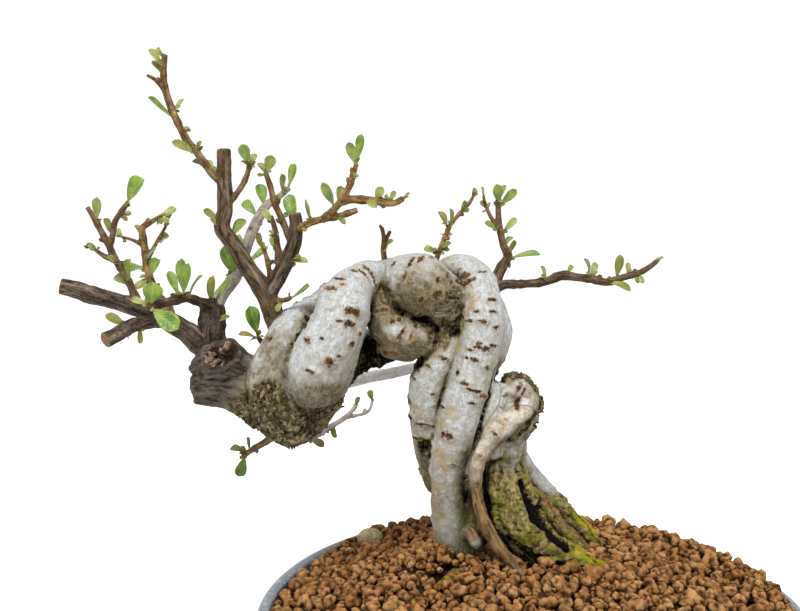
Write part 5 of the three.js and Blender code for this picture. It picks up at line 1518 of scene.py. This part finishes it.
def leaf_shell(base, reach, width, facing, make, arch, wave):
    """A curved blade, folded along its midrib, with a short stalk: corners, faces and what each corner is."""
    rows, columns, thickness = make
    length = np.linalg.norm(reach)
    ahead = reach / length
    side = unit(np.cross(reach, facing))
    face = np.cross(side, ahead)
    along = np.linspace(0, 1, rows + 1)
    blade = np.clip((along - PETIOLE) / (1 - PETIOLE), 0, 1)
    half = width / 2 * 1.62 * blade**0.75 * (1 - blade**3.6) ** 0.6
    stalk = np.interp(along, [0, PETIOLE, PETIOLE + 0.1, 0.98, 1], [0.3, 0.26, 0.2, 0.1, 0.03])
    half = np.maximum(half, stalk)[:, None]
    across = np.linspace(-1, 1, columns)
    outward = np.abs(across)
    bow = arch * length * np.sin(np.pi * along**1.2)
    middle = base + ahead * (along * length)[:, None] + face * bow[:, None]
    fold = LEAF_FOLD * 2.1 * half * outward[None] ** 1.25
    ripple = wave * half * outward[None] ** 2 * np.sin(9 * along)[:, None]
    top = middle[:, None] + side * (half * across[None])[..., None] + face * (fold + ripple)[..., None]
    taper = np.interp(along, [0, PETIOLE, 1], [1.6, 1.1, 0.6])
    thin = thickness * (1 - 0.6 * outward**3)[None] * taper[:, None]
    under = top - face * thin[..., None]
    corners = np.vstack([top.reshape(-1, 3), under.reshape(-1, 3)])
    count = (rows + 1) * columns
    faces = []
    for r in range(rows):
        for c in range(columns - 1):
            a = r * columns + c
            b = a + columns
            faces.append((a, a + 1, b + 1, b))
            faces.append((count + a, count + b, count + b + 1, count + a + 1))
        for c, turn in ((0, 1), (columns - 1, -1)):
            a = r * columns + c
            b = a + columns
            faces.append((a, b, count + b, count + a)[::turn])
    for r, turn in ((0, -1), (rows, 1)):
        for c in range(columns - 1):
            a = r * columns + c
            faces.append((a, a + 1, count + a + 1, count + a)[::turn])
    shares = np.tile(np.repeat(blade, columns), 2)
    sides = np.tile(np.tile(across, rows + 1), 2)
    below = np.repeat([0.0, 1.0], count)
    return corners, faces, shares, sides, below


def dress_leaves(name, stems, paths, finish, slot, facings, draw):
    shells, marks = [], {key: [] for key in ("along", "across", "under", "fresh", "brown_tip", "ruddy")}

    def grow(base, reach, width, facing, small, fresh):
        arch, wave = draw.uniform(-0.05, 0.14), draw.uniform(0.0, 0.06)
        corners, faces, *places = leaf_shell(base, reach, width, facing, LEAF_MAKE[small], arch, wave)
        shells.append((corners, faces))
        brown = draw.random() ** 2 if fresh < 0.75 else 0.0
        ruddy = max(0.0, draw.uniform(-0.9, 0.75)) if fresh < 0.8 else 0.0
        for key, values in zip(marks, (*places, fresh, brown, ruddy)):
            marks[key].append(np.broadcast_to(values, len(corners)))

    for (_, leaves), path in zip(stems, paths):
        for share, x, y, z, width in leaves:
            facing = next(facings)
            base, reach = path.at(share), np.array([x, y, z], float)
            length = np.linalg.norm(reach)
            size = smooth_step(4.5, 9, length) * 0.6 + smooth_step(2, 4.5, width) * 0.6
            fresh = np.clip(size + draw.uniform(-0.2, 0.25), 0, 1)
            grow(base, reach, width * 1.12, facing, False, fresh)
            # Small leaves round the foot of each large one
            for _ in range(int(draw.integers(2, 5))):
                swing = reach / length + draw.normal(0, 0.5, 3)
                size = draw.uniform(1.4, 3.4)
                wide = size * draw.uniform(0.38, 0.55)
                looks = facing + draw.normal(0, 0.3, 3)
                grow(base, unit(swing) * size, wide, looks, True, draw.uniform(0, 0.6))
    if shells:
        corners, faces = joined(shells)
        add_piece(name + "_leaves", corners, faces, finish, slot, [name],
                  **{key: np.concatenate(values) for key, values in marks.items()})


def dress_branches():
    wood, leaf = wood_finish(), leaf_finish()
    number = leaf_draws(21)
    draw = np.random.default_rng(21)
    limbs = {"limb_tall", "limb_fork", "stub_dark", "limb_back", "limb_left", "stub_cut", "branch_bare"}
    for name, stems in BRANCHES.items():
        slot = "branch" if name in limbs else "leafy_stem"
        facings = iter([
            np.array([next(number) - 0.5, next(number) * 0.6 - 0.9, next(number) * 0.6 + 0.4])
            for _, leaves in stems for _ in leaves])
        paths = dress_wood(name, stems, wood, slot, draw)
        dress_leaves(name, stems, paths, leaf, slot, facings, draw)


# Soil
# Radii of the grains, how many are thrown in each layer, and how far the lower layer lies below the top one
GRAIN_SIZES = (1.1, 2.4)
TOP_GRAINS = 1900
UNDER_GRAINS = 1020
UNDER_DEPTH = 2.0
# How many shapes the grains have, and how many pieces they are shared among
GRAIN_KINDS = 14
GRAIN_PIECES = 3
# Grains above this radius have a finer mesh in the top layer
FINE_GRAIN = 1.85
# How far the bed lies below the soil's even surface
BED_DEPTH = 2.4
# Where the grains are heaped against the foot of the trunk: (x, y, height, spread)
FOOT_HEAPS = [(-30, 18, 1.2, 130), (-26, 9, 4.5, 60)]
STONE_CLEARANCE = 4.0
STONE_TURN = 0.4


def heaped(x, y):
    """How far the grains lie above the even bed: at the back of the rim and round the foot."""
    radius, turn = np.hypot(x, y), np.degrees(np.arctan2(y, x))
    heap = 2.8 * smooth_step(58, 73, radius) * smooth_step(-32, 5, turn) * smooth_step(165, 120, turn)
    heap *= 1 + 0.5 * smooth_step(60, 30, turn)
    for foot_x, foot_y, height, spread in FOOT_HEAPS:
        heap += height * np.exp(-((x - foot_x) ** 2 + (y - foot_y) ** 2) / spread)
    return heap


def soil_height(radius):
    return SOIL_EDGE_HEIGHT + SOIL_RISE * (1 - (radius / INNER_RIM_RADIUS) ** 2)


def inner_wall_radius(height):
    drop = (RIM_HEIGHT - height) / (RIM_HEIGHT - FLOOR_HEIGHT)
    return FLOOR_RADIUS + (INNER_RIM_RADIUS - FLOOR_RADIUS) * np.sqrt(1 - drop**2)


def round_ball(subdivisions):
    ball = bmesh.new()
    bmesh.ops.create_icosphere(ball, subdivisions=subdivisions, radius=1.0)
    corners = np.array([v.co[:] for v in ball.verts])
    faces = [tuple(v.index for v in face.verts) for face in ball.faces]
    ball.free()
    return corners, faces


def lumpy_balls(subdivisions, draw):
    """Irregular grains: each is a ball pushed out into a few lobes and flattened on others."""
    corners, faces = round_ball(subdivisions)
    kinds = []
    for kind in range(GRAIN_KINDS):
        size = np.full(len(corners), 0.86)
        for _ in range(14):
            towards = unit(draw.normal(size=3))
            size += draw.uniform(0.1, 0.42) * np.exp(-(1 - corners @ towards) / 0.045)
        for _ in range(3):
            towards = unit(draw.normal(size=3))
            size = np.minimum(size, draw.uniform(0.8, 1.0) / np.maximum(corners @ towards, 0.2))
        size += 0.22 * noise(corners + 9 * kind, 0.45, 3, kind)
        # The second value marks each grain's dents, which its finish paints darker as shade
        kinds.append((corners * size[:, None], smooth_step(1.0, 0.78, size)))
    return kinds, faces


def turned(draw):
    """A random turn in space."""
    w, x, y, z = unit(draw.normal(size=4))
    return np.array([
        [1 - 2 * (y * y + z * z), 2 * (x * y - z * w), 2 * (x * z + y * w)],
        [2 * (x * y + z * w), 1 - 2 * (x * x + z * z), 2 * (y * z - x * w)],
        [2 * (x * z - y * w), 2 * (y * z + x * w), 1 - 2 * (x * x + y * y)],
    ])


def scattered(count, draw, spacing):
    """Grains thrown on the bed, largest first, each where it fits: (x, y, radius)."""
    sizes = np.sort(draw.uniform(*GRAIN_SIZES, count) * draw.choice([0.75, 1, 1, 1.25], count))[::-1]
    placed = np.empty((0, 3))
    for size in sizes:
        for _ in range(30):
            radius = (INNER_RIM_RADIUS - 0.9 * size) * math.sqrt(draw.random())
            turn = draw.uniform(0, 2 * math.pi)
            x, y = radius * math.cos(turn), radius * math.sin(turn)
            if len(placed):
                gap = np.hypot(placed[:, 0] - x, placed[:, 1] - y) - spacing * (placed[:, 2] + size)
                if gap.min() < 0:
                    continue
            placed = np.vstack([placed, (x, y, size)])
            break
    return placed


def dress_bed(finish):
    """The bed under the grains, down to the pot's floor."""
    turns = 96
    rings = [(r, soil_height(r) - BED_DEPTH) for r in np.linspace(0, INNER_RIM_RADIUS - 1.2, 24)[1:]]
    for height in np.linspace(SOIL_EDGE_HEIGHT - 4, FLOOR_HEIGHT + 0.5, 8):
        rings.append((inner_wall_radius(height) - 0.8, height))
    turn = np.arange(turns) * 2 * np.pi / turns
    corners = [(0, 0, soil_height(0) - BED_DEPTH)]
    for r, height in rings:
        corners.extend(zip(r * np.cos(turn), r * np.sin(turn), np.full(turns, height)))
    corners.append((0, 0, FLOOR_HEIGHT + 0.5))
    corners = np.array(corners)
    faces = [(0, 1 + k, 1 + (k + 1) % turns) for k in range(turns)]
    for ring in range(len(rings) - 1):
        for k in range(turns):
            a, b, n = 1 + ring * turns, 1 + (ring + 1) * turns, (k + 1) % turns
            faces.append((a + k, b + k, b + n, a + n))
    last, end = 1 + (len(rings) - 1) * turns, len(corners) - 1
    faces.extend((last + (k + 1) % turns, last + k, end) for k in range(turns))
    top = corners[:-1, 2] > SOIL_EDGE_HEIGHT - 3
    corners[:-1, 2] += (0.5 * noise(corners[:-1], 4, 2, 3) + heaped(corners[:-1, 0], corners[:-1, 1])) * top
    # Painted shade: the bed lies in the grains' shade and is painted dark
    tint, hollow, deep = (np.full(len(corners), share) for share in (0.2, 0.5, 0.9))
    add_piece("soil_bed", corners, faces, finish, "soil", ["soil"], tint=tint, hollow=hollow, deep=deep)


def thrown_grains(trunk_paths):
    """The grains of both layers, clear of the trunk and the stone: their shells and colour marks."""
    draw = np.random.default_rng(7)
    middle = np.vstack([path.middle for path in trunk_paths.values()])
    radius = np.concatenate([path.radius for path in trunk_paths.values()])
    coarse_kinds, fine_kinds = lumpy_balls(2, draw), lumpy_balls(3, draw)
    shells, marks = [], []
    for count, depth, spacing in ((TOP_GRAINS, 0.0, 0.78), (UNDER_GRAINS, UNDER_DEPTH, 0.86)):
        for x, y, size in scattered(count, draw, spacing):
            bed, heap = soil_height(math.hypot(x, y)), float(heaped(x, y))
            level = bed + heap
            z = bed + size * draw.uniform(-0.25, 0.55) - depth + 0.4 + heap
            gap = np.linalg.norm(middle - (x, y, z), axis=1) - radius
            stone_away = np.linalg.norm(np.array([x, y, z]) - STONE_PLACE)
            if gap.min() < 0.35 * size or stone_away < STONE_CLEARANCE + 0.6 * size:
                continue
            kinds, faces = fine_kinds if size > FINE_GRAIN and not depth else coarse_kinds
            shape, hollow = kinds[draw.integers(GRAIN_KINDS)]
            shape = shape * size * draw.uniform(0.82, 1.12, 3) @ turned(draw).T + (x, y, z)
            shells.append((shape, faces))
            # Painted shade: the lower layer and the low sides of the top grains go near black
            deep = np.full(len(shape), 0.9) if depth else smooth_step(level + 1.0, level - 0.7, shape[:, 2])
            tone = draw.random() if draw.random() < 0.93 else -0.6
            marks.append(np.stack([np.full(len(shape), tone), hollow, deep]))
    return shells, marks


def dress_soil(trunk_paths):
    finish = soil_finish()
    dress_bed(finish)
    shells, marks = thrown_grains(trunk_paths)
    corners, faces = joined(shells)
    surface = BVHTree.FromPolygons(corners.tolist(), faces)
    away = unit(np.vstack([shell[0] - shell[0].mean(axis=0) for shell in shells]))
    # Painted shade where the grains are walled in by their neighbours
    shade = smooth_step(0.3, 0.9, walled_in(surface, corners, away, 5, 6))
    counts = np.cumsum([len(shell[0]) for shell in shells])[:-1]
    for mark, between in zip(marks, np.split(shade, counts)):
        mark[2] = np.maximum(mark[2], 0.9 * between)
    for part in range(GRAIN_PIECES):
        corners, faces = joined(shells[part::GRAIN_PIECES])
        tint, hollow, deep = np.hstack(marks[part::GRAIN_PIECES])
        add_piece(f"soil_grains_{part + 1}", corners, faces, finish, "soil", ["soil"],
                  tint=tint, hollow=hollow, deep=deep)


def dress_stone():
    corners, faces = round_ball(4)
    size = 1 + 0.1 * noise(corners, 0.9, 3, 4)
    cos, sin = math.cos(STONE_TURN), math.sin(STONE_TURN)
    shape = corners * size[:, None] * STONE_RADII @ np.array([[cos, sin, 0], [-sin, cos, 0], [0, 0, 1]])
    add_piece("stone_pebble", shape + STONE_PLACE, faces, stone_finish(), "stone", ["stone"])


# Pot
FOOT_INSIDE = FOOT_RADIUS - FOOT_WIDTH
NECK_HEIGHT = RIM_HEIGHT - LIP_DEPTH
BELLY_RADIUS = RIM_RADIUS - LIP_OVERHANG
LIP_ROUND = 1.6
NOTCH_DEPTH = 4


def pot_outline():
    """The pot's section, round the outside and back in: (radius, height, pale edge, bare clay)."""
    outline = [
        (DRAIN_RADIUS, FOOT_HEIGHT + 0.2, 0, 1), (FOOT_INSIDE, FOOT_HEIGHT, 0, 1),
        (FOOT_INSIDE + 0.5, 0.5, 0, 1), (FOOT_INSIDE + 1.2, 0, 0, 1), (FOOT_RADIUS - 1.2, 0, 0, 1),
        (FOOT_RADIUS - 0.3, 0.6, 0, 1), (FOOT_RADIUS, 2, 0, 0.8),
    ]
    for t in np.linspace(0, 1, 26):
        one, two, three = (1 - t) ** 2, 2 * t * (1 - t), t**2
        radius = one * FOOT_RADIUS + two * BELLY_RADIUS + three * BELLY_RADIUS
        height = one * FOOT_HEIGHT + two * (FLOOR_HEIGHT + WALL) + three * NECK_HEIGHT
        outline.append((radius, height, 0, 0.6 if t == 0 else 0))
    outline += [
        (BELLY_RADIUS + 0.3, NECK_HEIGHT + 0.5, 0.1, 0), (BELLY_RADIUS + 1.4, NECK_HEIGHT + 0.9, 0.5, 0),
        (RIM_RADIUS, NECK_HEIGHT + 2, 0.2, 0), (RIM_RADIUS, NECK_HEIGHT + 3.4, 0, 0),
        (RIM_RADIUS, RIM_HEIGHT - LIP_ROUND, 0.2, 0),
    ]
    for t in np.linspace(0, np.pi, 9)[1:-1]:
        radius = RIM_RADIUS - WALL / 2 + math.cos(t) * WALL / 2
        outline.append((radius, RIM_HEIGHT - LIP_ROUND + LIP_ROUND * math.sin(t), 0.75, 0))
    for height in np.linspace(RIM_HEIGHT - LIP_ROUND, FLOOR_HEIGHT, 16):
        outline.append((inner_wall_radius(height), height, 0.15, 0))
    return outline + [(FLOOR_RADIUS * 0.6, FLOOR_HEIGHT, 0, 0), (DRAIN_RADIUS, FLOOR_HEIGHT - 0.2, 0, 0.4)]


def dress_pot():
    outline = pot_outline()
    turns = 180
    notch_turns = np.pi / 2 + np.arange(3) * 2 * np.pi / 3
    corners, edge, bare = [], [], []
    for r, height, rim, raw in outline:
        for angle in np.arange(turns) * 2 * np.pi / turns:
            z = height
            if height < NOTCH_DEPTH and r > FOOT_INSIDE - 1:
                away = min(abs((angle - at + np.pi) % (2 * np.pi) - np.pi) for at in notch_turns)
                half = FOOT_NOTCH_WIDTH / 2
                notched = smooth_step(half + 1.5, half - 1.5, away * FOOT_RADIUS)
                z = height + (NOTCH_DEPTH - height) * float(notched)
            corners.append((r * math.cos(angle), r * math.sin(angle), z))
            edge.append(rim)
            bare.append(raw)
    faces = []
    for row in range(len(outline)):
        after = (row + 1) % len(outline)
        for k in range(turns):
            n = (k + 1) % turns
            faces.append((row * turns + k, row * turns + n, after * turns + n, after * turns + k))
    add_piece("pot_bowl", corners, faces, glaze_finish(), "pot", ["pot"], edge=edge, bare=bare)
    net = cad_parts["drain_mesh"]
    net.data.materials.clear()
    net.data.materials.append(mesh_finish())


# Floor, light and camera
FLOOR_REACH = 4.0
SKY_STRENGTH = 1.1
LIGHT_TARGET = (-40, 20, 110)
# Lamps: their place, their size in metres and their power in watts
LAMPS = {"key": ((-200, -440, 860), 0.35, 12.0), "fill": ((600, -450, 380), 0.8, 3.2)}
CAMERA_PLACE = (-38.08, -277.19, 184.04)
CAMERA_TILT = 82


def set_stage():
    floor_mesh = bpy.data.meshes.new("floor")
    corners = [(x * FLOOR_REACH, y * FLOOR_REACH, 0) for x, y in ((-1, -1), (1, -1), (1, 1), (-1, 1))]
    floor_mesh.from_pydata(corners, [], [(0, 1, 2, 3)])
    floor_mesh.materials.append(floor_finish())
    floor = into_scene("floor", floor_mesh)
    world = bpy.data.worlds.new("studio")
    world.use_nodes = True
    world.node_tree.nodes["Background"].inputs["Color"].default_value = (1, 1, 1, 1)
    world.node_tree.nodes["Background"].inputs["Strength"].default_value = SKY_STRENGTH
    bpy.context.scene.world = world
    target = Vector(place(LIGHT_TARGET))
    for name, (spot, size, watts) in LAMPS.items():
        light = bpy.data.lights.new(name, "AREA")
        light.shape = "DISK"
        light.size = size
        light.energy = watts
        lamp = into_scene(name, light)
        lamp.location = Vector(place(spot))
        lamp.rotation_euler = (target - lamp.location).to_track_quat("-Z", "Y").to_euler()
    bpy.context.scene.view_settings.view_transform = "Standard"
    view = bpy.data.cameras.new("photo_view")
    view.lens = 45
    view.sensor_width = 36
    view.sensor_fit = "HORIZONTAL"
    camera = into_scene("photo_view", view)
    camera.location = Vector(place(CAMERA_PLACE))
    camera.rotation_euler = (math.radians(CAMERA_TILT), 0, 0)
    bpy.context.scene.camera = camera


set_stage()
dress_pot()
trunk_paths = dress_trunk()
dress_branches()
dress_soil(trunk_paths)
dress_stone()
